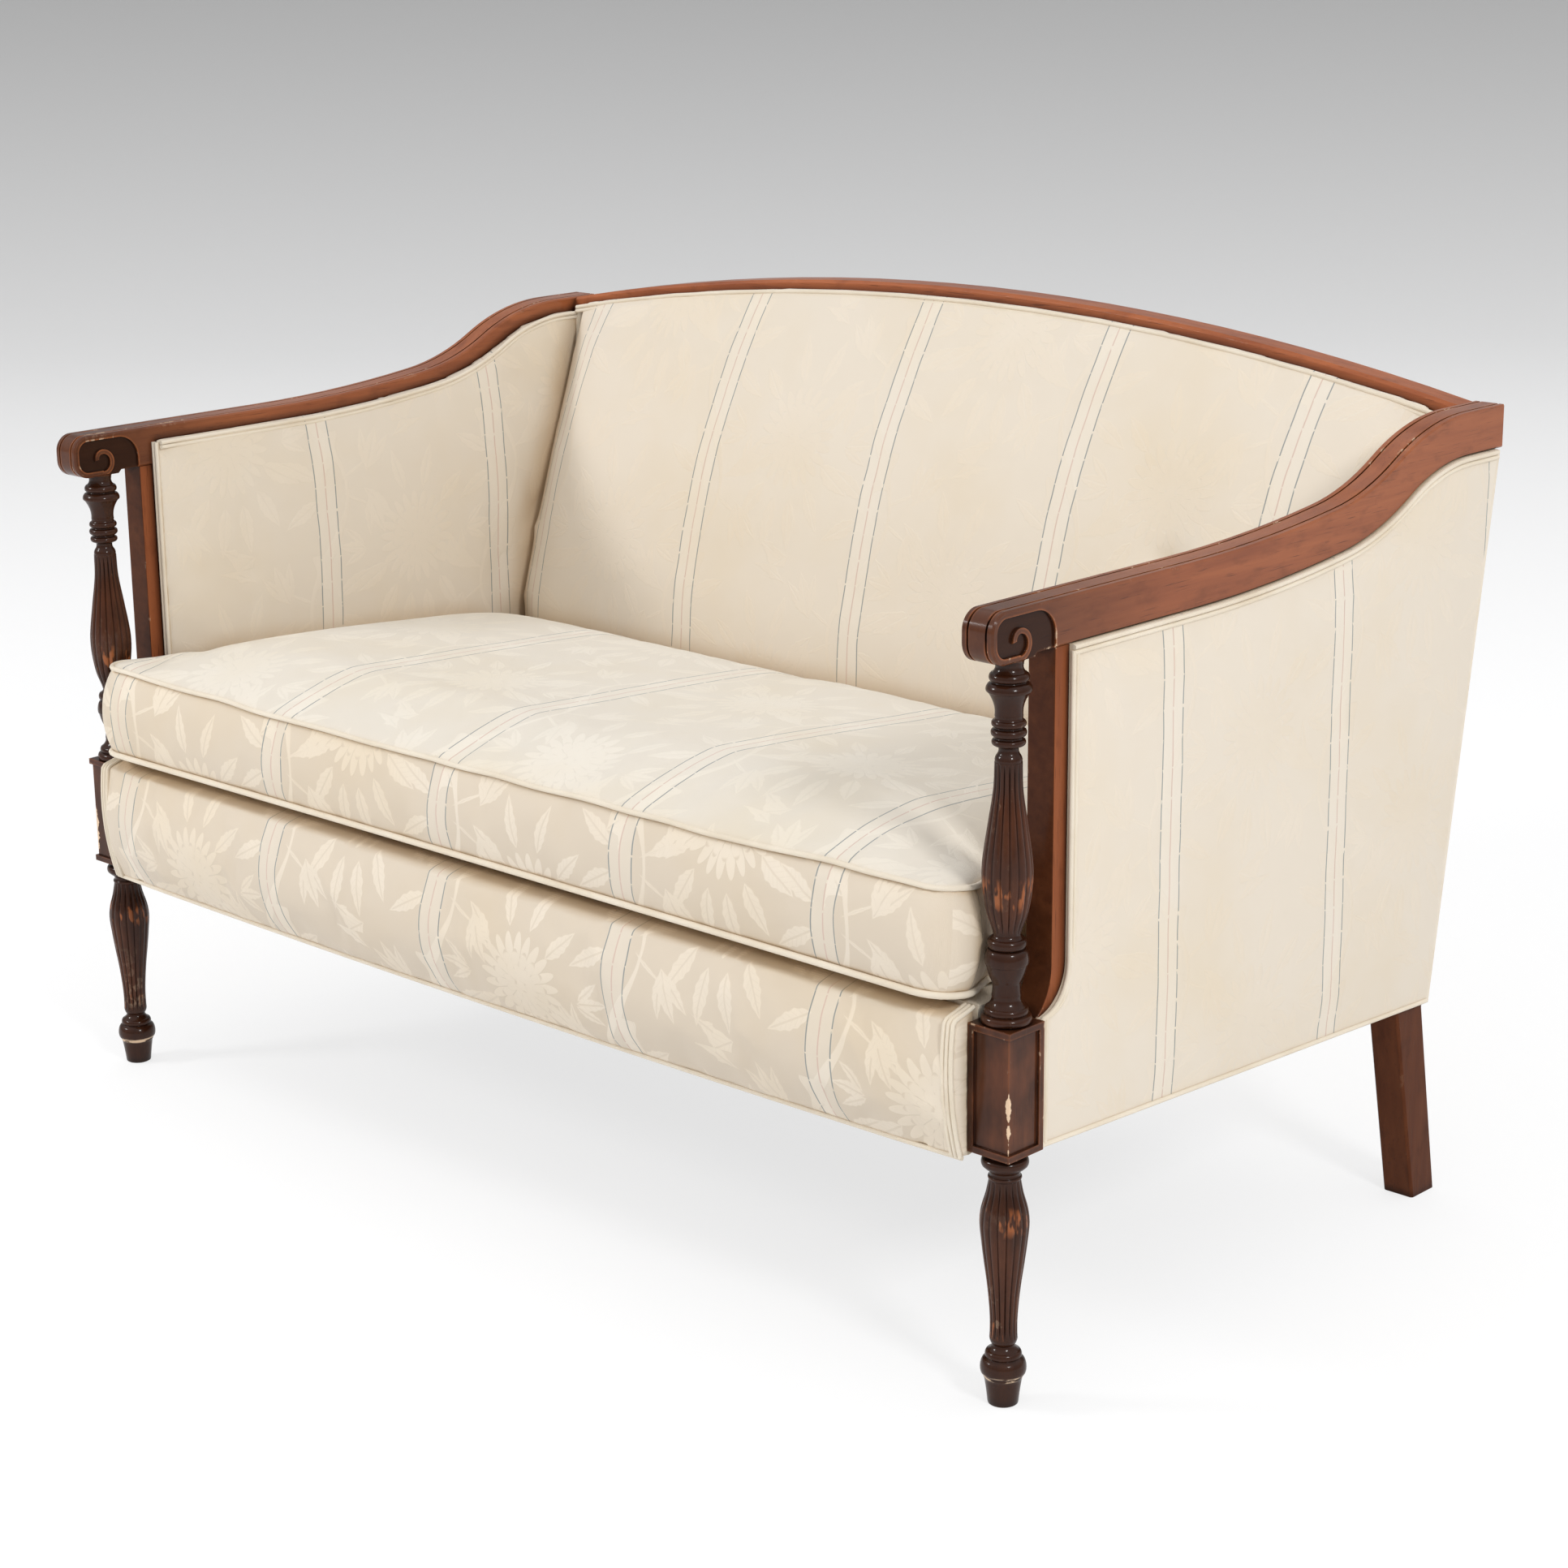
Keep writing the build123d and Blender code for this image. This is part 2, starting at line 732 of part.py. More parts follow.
lower_rail_low = (seat_z(knee_y, deck_rise) + lower_rail_clear) / cosine(back_rake)
lower_rail_top = lower_rail_low + lower_rail_height

with BuildPart() as lower_back_rail:
    with BuildSketch(back_plane):
        with Locations((0, lower_rail_low)):
            Rectangle(2 * back_post_inner_x, lower_rail_height, align=(Align.CENTER, Align.MIN))
    extrude(amount=back_frame_thickness)

stay_setback = (back_frame_thickness - stay_thickness) / 2

with BuildPart() as back_stay:
    with BuildSketch(back_plane.offset(stay_setback)):
        with Locations((0, lower_rail_top)):
            Rectangle(stay_width, crest_mid_top, align=(Align.CENTER, Align.MIN))
    extrude(amount=stay_thickness)
    with BuildSketch(face_plane(arm_reach)) as crest_shadow:
        with BuildLine():
            low = crest_arc(crest_chord, crest_end_low, crest_mid_low)
            high = 2 * crest_mid_top
            Polyline(low @ 1, (crest_chord, high), (-crest_chord, high), low @ 0)
        make_face()
    extrude(amount=arm_reach, both=True, mode=Mode.SUBTRACT)

# Tacking rails for the lower edges of the inside arms

tacking_low = seat_z(stump_back, deck_rise) + arm_rail_lift
tacking_top = tacking_low + arm_rail_height

with BuildPart() as lower_arm_rail_right:
    with BuildSketch(side_plane(side_inner_x)):
        with BuildLine():
            Polyline(
                (stump_back, tacking_low),
                (back_post_front_y(tacking_low), tacking_low),
                (back_post_front_y(tacking_top), tacking_top),
                (stump_back, tacking_top),
                close=True,
            )
        make_face()
    extrude(amount=arm_rail_thickness)

with BuildPart() as arm_dowel_set:
    with Locations(*arm_dowel_spots, *[(-x, y, z) for x, y, z in arm_dowel_spots]):
        Cylinder(dowel_radius, dowel_length)
    with Locations(*crest_dowel_spots, *[(-x, y, z) for x, y, z in crest_dowel_spots]):
        Cylinder(dowel_radius, dowel_length, rotation=(0, 90, 0))


# Webbing

seat_strap_front = -front_rail_half / 2
seat_strap_back = (back_rail_front_y + back_rail_thickness / 2) / cosine(seat_pitch)
seat_strap_mid = (seat_strap_front + seat_strap_back) / 2
seat_strap_pitch = 2 * side_inner_x / (seat_strap_count + 1)
cross_strap_mid = (stump_back + knee_y) / 2
cross_strap_pitch = (knee_y - stump_back) / cross_strap_count
back_strap_pitch = 2 * back_post_inner_x / (back_strap_count + 1)

with BuildPart() as seat_webbing:
    with BuildSketch(seat_plane):
        with Locations((0, seat_strap_mid)):
            with GridLocations(seat_strap_pitch, 1, seat_strap_count, 1):
                Rectangle(strap_width, seat_strap_back - seat_strap_front)
    extrude(amount=strap_thickness)

with BuildPart() as seat_cross_webbing:
    with BuildSketch(seat_plane.offset(strap_thickness)):
        with Locations((0, cross_strap_mid)):
            with GridLocations(1, cross_strap_pitch, 1, cross_strap_count):
                Rectangle(2 * post_x, strap_width)
    extrude(amount=strap_thickness)

with BuildPart() as back_webbing:
    for strap in range(back_strap_count):
        strap_x = (strap - (back_strap_count - 1) / 2) * back_strap_pitch
        strap_top = (crest_top_z(strap_x) - crest_band - back_strap_lap) / cosine(back_rake)
        with BuildSketch(back_plane.offset(back_frame_thickness)):
            with Locations((strap_x, lower_rail_low)):
                Rectangle(strap_width, strap_top - lower_rail_low, align=(Align.CENTER, Align.MIN))
        extrude(amount=strap_thickness)


# Tight upholstery

deck_half = post_x - half_block - soft_gap
deck_back = (back_rail_front_y + back_rail_thickness - soft_gap) / cosine(seat_pitch)

with BuildPart() as seat_deck:
    with BuildSketch(seat_plane.offset(2 * strap_thickness)):
        with Locations((0, deck_front)):
            Rectangle(2 * deck_half, deck_back - deck_front, align=(Align.CENTER, Align.MIN))
    extrude(amount=deck_thickness)

# The front border swells over the bowed rail and rolls in under the cushion
apron_end = post_x - half_block - soft_gap
apron_circle = (apron_end**2 + apron_bow**2) / (2 * apron_bow)
apron_mid_z = (apron_bottom + apron_shoulder) / 2

apron_stations = [(-share, swell) for share, swell in reversed(apron_half)] + [(0.0, 1.0)] + apron_half
apron_slack_y = (apron_toe_y + apron_shoulder_y) / 2

with BuildPart() as front_apron:
    for share, swell in apron_stations:
        x = share * apron_end
        bow = apron_bow - apron_circle + math.sqrt(apron_circle**2 - x**2)
        bulge_y = apron_slack_y + swell * (apron_bulge_y - apron_slack_y)
        with BuildSketch(side_plane(x)):
            with BuildLine():
                toe = (apron_toe_y - bow, apron_bottom)
                shoulder = (apron_shoulder_y - bow, apron_shoulder)
                ThreePointArc(toe, (bulge_y - bow, apron_mid_z), shoulder)
                Polyline(shoulder, (deck_front, apron_top), (deck_front, apron_bottom), toe)
            make_face()
    loft(ruled=True)
    add(front_seat_rail.part, mode=Mode.SUBTRACT)
    add(seat_deck.part, mode=Mode.SUBTRACT)

# Inside arm pads: crowned in height, thin at the stump, lapped over the inner face of the arm rail
# and running back past the post as far as the back pad
arm_pad_front = stump_front + stump_show
arm_pad_run = back_y(arm_end_underside + arm_pad_lap) - arm_pad_front
arm_pad_lap_x = arm_inner_x - soft_gap
arm_pad_end_plane = back_plane.offset(back_frame_thickness + strap_thickness + arm_pad_end_gap)

with BuildPart() as inside_arm_right:
    for share, edge, crown in arm_pad_stations:
        y = arm_pad_front + share * arm_pad_run
        under = arm_underside_z(y) - arm_pad_gap
        top = arm_underside_z(y) + arm_pad_lap
        low = seat_z(y, deck_rise) + soft_gap
        with BuildSketch(face_plane(y)):
            with BuildLine():
                inner = side_inner_x - edge
                face = inner - crown * arm_pad_crown
                ThreePointArc((inner, low), (face, (low + top) / 2), (inner, top))
                Polyline(
                    (inner, top),
                    (arm_pad_lap_x, top),
                    (arm_pad_lap_x, under),
                    (side_inner_x, under),
                    (side_inner_x, low),
                    (inner, low),
                )
            make_face()
    loft(ruled=True)
    split(bisect_by=arm_pad_end_plane, keep=Keep.TOP)
    add(back_post_right.part, mode=Mode.SUBTRACT)

with BuildPart() as outside_arm_right:
    with BuildSketch(side_plane(side_outer_x)):
        with BuildLine():
            show = stump_front + stump_show
            top = Line((show, arm_underside - soft_gap), (arm_level_run, arm_underside - soft_gap))
            for radius, turn in arm_turns:
                top = JernArc(top @ 1, top % 1, radius + math.copysign(soft_gap, turn), turn)
            top_back_y = back_y((top @ 1).Y)
            Polyline(top @ 1, (top_back_y, (top @ 1).Y), (heel_y, heel_z), (half_block, block_bottom))
            front = Line((show, arm_underside - soft_gap), (show, block_top + stump_curve_rise + soft_gap))
            toe = TangentArc(front @ 1, (half_block, block_top), tangent=front % 1)
            Line(toe @ 1, (half_block, block_bottom))
        make_face()
    extrude(amount=panel_thickness)

# Inside back: raked, crowned and rounded off at its ends, with its foot tucked behind the cushion
back_pad_end = side_inner_x - arm_pad_edge - arm_pad_crown - back_pad_end_gap
back_pad_setback = (back_frame_thickness + strap_thickness) / cosine(back_rake)
back_pad_floor = seat_z(0, deck_rise) + soft_gap
rear_y = crossing_y(back_y(0) - back_pad_setback, tangent(back_rake), back_pad_floor, tangent(seat_pitch))
rear_z = seat_z(rear_y, deck_rise) + soft_gap
back_pad_foot_y = rear_y - back_pad_foot_depth
back_pad_seat_y = back_pad_foot_y - back_pad_lean
back_pad_seat_z = rear_z + back_pad_seat_rise
back_pad_stations = [(-share, round_off) for share, round_off in reversed(back_pad_half)]
back_pad_stations += [(0.0, 0.0)] + back_pad_half

with BuildPart() as inside_back:
    for share, round_off in back_pad_stations:
        x = share * back_pad_end
        recede = round_off * back_pad_round
        top_z = crest_top_z(x) - crest_band
        top_y = back_y(top_z) - back_pad_setback
        low_y = back_pad_foot_y + recede
        seat_y = back_pad_seat_y + recede
        brow_y = top_y - back_pad_top_edge
        crown = back_pad_crown + round_off * (back_pad_end_crown - back_pad_crown)
        face_point = ((seat_y + brow_y) / 2 - crown, (back_pad_seat_z + top_z) / 2)
        with BuildSketch(side_plane(x)):
            with BuildLine():
                ThreePointArc((seat_y, back_pad_seat_z), face_point, (brow_y, top_z))
                Polyline(
                    (brow_y, top_z),
                    (top_y, top_z),
                    (rear_y, rear_z),
                    (low_y, seat_z(low_y, deck_rise) + soft_gap),
                    (seat_y, back_pad_seat_z),
                )
            make_face()
    loft(ruled=True)

outside_back_half = side_outer_x + panel_thickness
outside_back_low = heel_z / cosine(back_rake)
outside_back_shoulder = (arm_end_underside - panel_thickness * sine(back_rake)) / cosine(back_rake) - soft_gap

with BuildPart() as outside_back:
    with BuildSketch(back_plane):
        with BuildLine():
            step_x = back_post_inner_x
            crest_arc(step_x, outside_back_shoulder, crest_mid_low / cosine(back_rake) - 2 * soft_gap)
            Polyline(
                (step_x, outside_back_shoulder),
                (outside_back_half, outside_back_shoulder),
                (outside_back_half, outside_back_low),
                (-outside_back_half, outside_back_low),
                (-outside_back_half, outside_back_shoulder),
                (-step_x, outside_back_shoulder),
            )
        make_face()
    extrude(amount=-panel_thickness)

cover_front = front_rail_half - half_block
cover_back = back_rail_front_y + back_rail_thickness / 2 - half_block
cover_step = corner_notch / 2

with BuildPart() as dust_cover:
    with BuildSketch(frame_plane):
        with Locations((0, (cover_front + cover_back) / 2)):
            Rectangle(2 * deck_half, cover_back - cover_front)
        with Locations((0, (cover_step + knee_y - half_block - cover_step) / 2)):
            Rectangle(2 * post_x, knee_y - half_block - 2 * cover_step)
    extrude(amount=-cover_thickness)


# Loose cushion: boxed between two welted seams, drawn in at mid height and crowned on top

cushion_plane = seat_plane.offset(deck_rise + soft_gap)
cushion_half = side_inner_x - arm_pad_edge - arm_pad_crown - cushion_gap - 2 * welt_radius
seam_low = cushion_foot
seam_high = cushion_foot + cushion_boxing
seam_lean = (deck_rise + soft_gap + seam_high) * sine(seat_pitch)
cushion_reach = back_pad_seat_y - cushion_gap - 2 * welt_radius
cushion_back = (cushion_reach - seam_lean) / cosine(seat_pitch)
cushion_mid = (cushion_front + cushion_back) / 2


# The corner of an inset outline is no rounder than the depth that the inset leaves
def cushion_outline(inset, corner):
    half_depth = (cushion_back - cushion_front) / 2 - inset
    with Locations((0, cushion_mid)):
        RectangleRounded(2 * (cushion_half - inset), 2 * half_depth, min(corner, half_depth - soft_gap))


crown_stack = [(seam_high + rise, inset, crown_corner) for rise, inset in cushion_crown]

with BuildPart() as seat_cushion:
    for stack in (
        [(0, cushion_foot_inset, cushion_corner), (seam_low, 0, cushion_corner)],
        [
            (seam_low, 0, cushion_corner),
            ((seam_low + seam_high) / 2, cushion_draw_in, cushion_corner),
            (seam_high, 0, cushion_corner),
        ],
        [(seam_high, 0, cushion_corner)] + crown_stack,
    ):
        for height, inset, corner in stack:
            with BuildSketch(cushion_plane.offset(height)):
                cushion_outline(inset, corner)
        loft(ruled=True)

with BuildPart() as cushion_welts:
    for height in (seam_low, seam_high):
        with BuildSketch(cushion_plane.offset(height), mode=Mode.PRIVATE) as seam:
            cushion_outline(-welt_radius, cushion_corner + welt_radius)
        cord = seam.sketch.faces()[0].outer_wire()
        with BuildSketch(Plane(origin=cord @ 0, z_dir=cord % 0)):
            RegularPolygon(welt_radius, welt_sides)
        sweep(path=cord)


# Left-hand twins

with BuildPart() as front_post_left:
    mirror(front_post_right.part, about=Plane.YZ)

with BuildPart() as arm_rail_left:
    mirror(arm_rail_right.part, about=Plane.YZ)

with BuildPart() as arm_stump_left:
    mirror(arm_stump_right.part, about=Plane.YZ)

with BuildPart() as back_post_left:
    mirror(back_post_right.part, about=Plane.YZ)

with BuildPart() as side_seat_rail_left:
    mirror(side_seat_rail_right.part, about=Plane.YZ)

with BuildPart() as lower_arm_rail_left:
    mirror(lower_arm_rail_right.part, about=Plane.YZ)

with BuildPart() as inside_arm_left:
    mirror(inside_arm_right.part, about=Plane.YZ)

with BuildPart() as outside_arm_left:
    mirror(outside_arm_right.part, about=Plane.YZ)

front_post_right.part.label = "front_post_right"
export_step(front_post_right.part, "parts/front_post_right.step")
front_post_left.part.label = "front_post_left"
export_step(front_post_left.part, "parts/front_post_left.step")
arm_rail_right.part.label = "arm_rail_right"
export_step(arm_rail_right.part, "parts/arm_rail_right.step")
arm_rail_left.part.label = "arm_rail_left"
export_step(arm_rail_left.part, "parts/arm_rail_left.step")
arm_stump_right.part.label = "arm_stump_right"
export_step(arm_stump_right.part, "parts/arm_stump_right.step")
arm_stump_left.part.label = "arm_stump_left"
export_step(arm_stump_left.part, "parts/arm_stump_left.step")
back_post_right.part.label = "back_post_right"
export_step(back_post_right.part, "parts/back_post_right.step")
back_post_left.part.label = "back_post_left"
export_step(back_post_left.part, "parts/back_post_left.step")
crest_rail.part.label = "crest_rail"
export_step(crest_rail.part, "parts/crest_rail.step")
lower_back_rail.part.label = "lower_back_rail"
export_step(lower_back_rail.part, "parts/lower_back_rail.step")
back_stay.part.label = "back_stay"
export_step(back_stay.part, "parts/back_stay.step")
front_seat_rail.part.label = "front_seat_rail"
export_step(front_seat_rail.part, "parts/front_seat_rail.step")
back_seat_rail.part.label = "back_seat_rail"
export_step(back_seat_rail.part, "parts/back_seat_rail.step")
side_seat_rail_right.part.label = "side_seat_rail_right"
export_step(side_seat_rail_right.part, "parts/side_seat_rail_right.step")
side_seat_rail_left.part.label = "side_seat_rail_left"
export_step(side_seat_rail_left.part, "parts/side_seat_rail_left.step")
lower_arm_rail_right.part.label = "lower_arm_rail_right"
export_step(lower_arm_rail_right.part, "parts/lower_arm_rail_right.step")
lower_arm_rail_left.part.label = "lower_arm_rail_left"
export_step(lower_arm_rail_left.part, "parts/lower_arm_rail_left.step")
seat_cross_brace.part.label = "seat_cross_brace"
export_step(seat_cross_brace.part, "parts/seat_cross_brace.step")
corner_blocks.part.label = "corner_blocks"
export_step(corner_blocks.part, "parts/corner_blocks.step")
arm_dowel_set.part.label = "arm_dowels"
export_step(arm_dowel_set.part, "parts/arm_dowels.step")
seat_webbing.part.label = "seat_webbing"
export_step(seat_webbing.part, "parts/seat_webbing.step")
seat_cross_webbing.part.label = "seat_cross_webbing"
export_step(seat_cross_webbing.part, "parts/seat_cross_webbing.step")
back_webbing.part.label = "back_webbing"
export_step(back_webbing.part, "parts/back_webbing.step")
seat_deck.part.label = "seat_deck"
export_step(seat_deck.part, "parts/seat_deck.step")
front_apron.part.label = "front_apron"
export_step(front_apron.part, "parts/front_apron.step")
inside_back.part.label = "inside_back"
export_step(inside_back.part, "parts/inside_back.step")
outside_back.part.label = "outside_back"
export_step(outside_back.part, "parts/outside_back.step")
inside_arm_right.part.label = "inside_arm_right"
export_step(inside_arm_right.part, "parts/inside_arm_right.step")
inside_arm_left.part.label = "inside_arm_left"
export_step(inside_arm_left.part, "parts/inside_arm_left.step")
outside_arm_right.part.label = "outside_arm_right"
export_step(outside_arm_right.part, "parts/outside_arm_right.step")
outside_arm_left.part.label = "outside_arm_left"
export_step(outside_arm_left.part, "parts/outside_arm_left.step")
dust_cover.part.label = "dust_cover"
export_step(dust_cover.part, "parts/dust_cover.step")
seat_cushion.part.label = "seat_cushion"
export_step(seat_cushion.part, "parts/seat_cushion.step")
cushion_welts.part.label = "cushion_welts"
export_step(cushion_welts.part, "parts/cushion_welts.step")
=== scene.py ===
import bpy
import bmesh
import json
import math
from functools import partial
from mathutils import Matrix, Vector, noise


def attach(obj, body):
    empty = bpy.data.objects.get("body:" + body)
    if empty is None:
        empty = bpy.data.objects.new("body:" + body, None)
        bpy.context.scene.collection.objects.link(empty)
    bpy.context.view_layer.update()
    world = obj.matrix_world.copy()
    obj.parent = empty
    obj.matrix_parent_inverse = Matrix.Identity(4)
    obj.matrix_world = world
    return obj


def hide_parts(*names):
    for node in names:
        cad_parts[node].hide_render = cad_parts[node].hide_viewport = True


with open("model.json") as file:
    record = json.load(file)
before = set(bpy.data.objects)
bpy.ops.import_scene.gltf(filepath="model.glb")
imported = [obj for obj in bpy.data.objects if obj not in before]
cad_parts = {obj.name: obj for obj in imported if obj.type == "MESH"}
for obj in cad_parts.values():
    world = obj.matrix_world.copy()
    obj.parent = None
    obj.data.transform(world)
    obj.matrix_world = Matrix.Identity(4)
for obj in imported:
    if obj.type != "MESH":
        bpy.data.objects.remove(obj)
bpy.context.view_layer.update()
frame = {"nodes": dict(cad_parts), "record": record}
nodes = frame["nodes"]
print("frame loaded:", len(nodes), "nodes")

# sizes shared with the frame, in metres; "run" is measured backwards from the front posts
plan = {
    "postX": 0.610,
    "postY": -0.320246,
    "railTop": 0.330,
    "seatPitch": math.radians(4.5),
    "rake": math.radians(8.8),
    "deckRise": 0.020,
    "armUnderside": 0.6485,
    "armPadLap": 0.026,
    "armLevelRun": 0.2185,
    "armTurns": ((1.760, 7.1), (0.290, 22.05), (0.190, -29.15)),
    "armEndUnderside": 0.72057,
    "frameBack": 0.68095,
    "crestEndTop": 0.76007,
    "crestMidTop": 0.81707,
    "crestHalf": 0.5935,
    "crestBand": 0.009,
    "frameBottom": 0.2275,
    "frameFront": 0.02225,
    "bottomPitch": math.radians(2.6),
}


def armUnderside(run):  # height of the arm's lower edge
    startRun, startZ, heading = plan["armLevelRun"], plan["armUnderside"], 0.0
    if run <= startRun:
        return startZ
    for radius, turn in plan["armTurns"]:
        signed = math.copysign(radius, turn)
        end = heading + math.radians(turn)
        endRun = startRun + signed * (math.sin(end) - math.sin(heading))
        if run <= endRun:
            angle = math.asin(math.sin(heading) + (run - startRun) / signed)
            return startZ + signed * (math.cos(heading) - math.cos(angle))
        startZ += signed * (math.cos(heading) - math.cos(end))
        startRun, heading = endRun, end
    return startZ


def backRun(z):  # rear face of the back frame
    return plan["frameBack"] + (z - plan["armEndUnderside"]) * math.tan(plan["rake"])


def crestTop(x):
    rise = plan["crestMidTop"] - plan["crestEndTop"]
    radius = (plan["crestHalf"] ** 2 + rise ** 2) / (2 * rise)
    return plan["crestMidTop"] - radius + math.sqrt(radius ** 2 - x ** 2)


def deckTop(run):
    pitch = plan["seatPitch"]
    return plan["railTop"] - run * math.tan(pitch) + plan["deckRise"] / math.cos(pitch)


def frameBottom(run):
    return plan["frameBottom"] - (run - plan["frameFront"]) * math.tan(plan["bottomPitch"])


def at(x, run, z):
    return Vector((x, plan["postY"] + run, z))


def smoothStep(low, high, value):
    t = min(max((value - low) / (high - low), 0.0), 1.0)
    return t * t * (3 - 2 * t)


# shader helpers

def feed(socket, value):  # a link from another socket, or a fixed value
    if isinstance(value, bpy.types.NodeSocket):
        socket.id_data.links.new(value, socket)
    else:
        socket.default_value = value


def put(tree, kind, inputs=None, **settings):
    made = tree.nodes.new("ShaderNode" + kind)
    for key, value in settings.items():
        setattr(made, key, value)
    for key, value in (inputs or {}).items():
        feed(made.inputs[key], value)
    return made


def place(tree, group, **inputs):
    return put(tree, "Group", inputs, node_tree=group).outputs


def treeOf(*values):  # the node tree that the given sockets belong to
    return next(value.id_data for value in values if isinstance(value, bpy.types.NodeSocket))


def calc(operation, *values):
    return put(treeOf(*values), "Math", dict(enumerate(values)), operation=operation).outputs[0]


times = partial(calc, "MULTIPLY")
timesPlus = partial(calc, "MULTIPLY_ADD")
plus = partial(calc, "ADD")
minus = partial(calc, "SUBTRACT")
over = partial(calc, "DIVIDE")
absolute = partial(calc, "ABSOLUTE")
larger = partial(calc, "MAXIMUM")
sine = partial(calc, "SINE")
wrapped = partial(calc, "WRAP")


def tint(factor, first, second, blend="MIX"):
    values = {0: factor, 6: first, 7: second}
    return put(treeOf(*values.values()), "Mix", values, data_type="RGBA", blend_type=blend).outputs[2]


def vectorCalc(operation, vector, inputs=None):
    return put(vector.id_data, "VectorMath", {0: vector, **(inputs or {})}, operation=operation).outputs


def scaled(vector, x, y, z):
    return vectorCalc("MULTIPLY", vector, {1: (x, y, z)})["Vector"]


def split(vector):
    return put(vector.id_data, "SeparateXYZ", {"Vector": vector}).outputs


def joined(x, y):
    return put(x.id_data, "CombineXYZ", {"X": x, "Y": y}).outputs["Vector"]


def ramp(value, low, high):  # straight ramp, clamped to 0..1
    ends = {"Value": value, "From Min": low, "From Max": high}
    return put(value.id_data, "MapRange", ends, clamp=True).outputs["Result"]


def cloud(vector, scale=1.0, detail=4.0, rough=0.55):
    values = {"Vector": vector, "Scale": scale, "Detail": detail, "Roughness": rough}
    return put(vector.id_data, "TexNoise", values).outputs["Fac"]


def startGroup(name, inputs, outputs):
    tree = bpy.data.node_groups.new(name, "ShaderNodeTree")
    for label, kind, value in inputs:
        socket = tree.interface.new_socket(label, in_out="INPUT", socket_type="NodeSocket" + kind)
        if value is not None:
            socket.default_value = value
    for label, kind in outputs:
        tree.interface.new_socket(label, in_out="OUTPUT", socket_type="NodeSocket" + kind)
    return tree, tree.nodes.new("NodeGroupInput").outputs, tree.nodes.new("NodeGroupOutput").inputs


def startMaterial(name):
    material = bpy.data.materials.new(name)
    material.use_nodes = True
    tree = material.node_tree
    tree.nodes.clear()
    shader = put(tree, "BsdfPrincipled")
    put(tree, "OutputMaterial", {"Surface": shader.outputs["BSDF"]})
    return material, tree, shader


def bumped(shader, height, depth):
    made = put(shader.id_data, "Bump", {"Height": height, "Strength": 1.0, "Distance": depth})
    feed(shader.inputs["Normal"], made.outputs["Normal"])


# wood finishes

woodShades = {
    "dark": (0.150, 0.0415, 0.0170, 1),
    "light": (0.270, 0.0840, 0.0310, 1),
    "mottle": (0.095, 0.0260, 0.0110, 1),
    "pore": (0.022, 0.006, 0.004, 1),
    "dirtAndShade": (0.008, 0.0034, 0.0024, 1),
    "rubbed": (0.36, 0.110, 0.034, 1),
    "bare": (0.72, 0.52, 0.35, 1),
}


def buildGrainGroup():
    tree, given, result = startGroup(
        "mahoganyGrain",
        [("Vector", "Vector", None), ("Tone", "Float", 1.0)],
        [("Color", "Color"), ("Height", "Float")])
    vector = given["Vector"]
    streak = cloud(scaled(vector, 95, 95, 5), detail=6)
    figure = cloud(scaled(vector, 9, 9, 3), detail=3)
    pores = cloud(scaled(vector, 900, 900, 28), detail=2)
    mottle = cloud(scaled(vector, 60, 60, 26), detail=3)
    mixed = timesPlus(figure, 0.55, times(streak, 0.6))
    tone = ramp(mixed, 0.38, 0.78)
    base = tint(tone, woodShades["dark"], woodShades["light"])
    base = tint(times(ramp(mottle, 0.56, 0.80), 0.6), base, woodShades["mottle"])
    base = vectorCalc("SCALE", base, {"Scale": given["Tone"]})["Vector"]
    pore = ramp(pores, 0.62, 0.74)
    color = tint(times(pore, 0.55), base, woodShades["pore"])
    feed(result["Color"], color)
    feed(result["Height"], minus(1.0, pore))
    return tree


def buildWearAndShadeGroup():
    tree, given, result = startGroup(
        "ageWearAndShade",
        [("Vector", "Vector", None), ("Recess", "Float", 0.012), ("Edge", "Float", 0.0026),
         ("Chips", "Float", 0.0)],
        [("DirtAndShade", "Float"), ("Rub", "Float"), ("Chip", "Float"), ("Scuff", "Float")])
    # painted shade and dirt: the hollow mask darkens recesses towards near-black, standing in for the shade
    # that falls there as well as grime
    hollow = put(tree, "AmbientOcclusion", {"Distance": given["Recess"]}, samples=8)
    ridge = put(tree, "AmbientOcclusion", {"Distance": given["Edge"]}, samples=8, inside=True)
    patch = cloud(scaled(given["Vector"], 26, 26, 26), detail=3)
    fine = cloud(scaled(given["Vector"], 210, 210, 120), detail=3)
    dirtAndShade = ramp(hollow.outputs["AO"], 0.92, 0.35)
    edge = ramp(ridge.outputs["AO"], 0.9, 0.45)
    rub = times(edge, ramp(patch, 0.34, 0.60))
    worn = timesPlus(patch, 0.55, times(fine, 0.5))
    bite = ramp(timesPlus(given["Chips"], 0.12, worn), 0.625, 0.665)
    feed(result["DirtAndShade"], dirtAndShade)
    feed(result["Rub"], rub)
    feed(result["Chip"], times(edge, bite))
    scuff = ramp(cloud(scaled(given["Vector"], 140, 140, 45), detail=2), 0.55, 0.62)
    undarkened = minus(1.0, dirtAndShade)
    feed(result["Scuff"], times(scuff, times(undarkened, undarkened)))
    return tree


grainGroup = buildGrainGroup()
wearAndShadeGroup = buildWearAndShadeGroup()


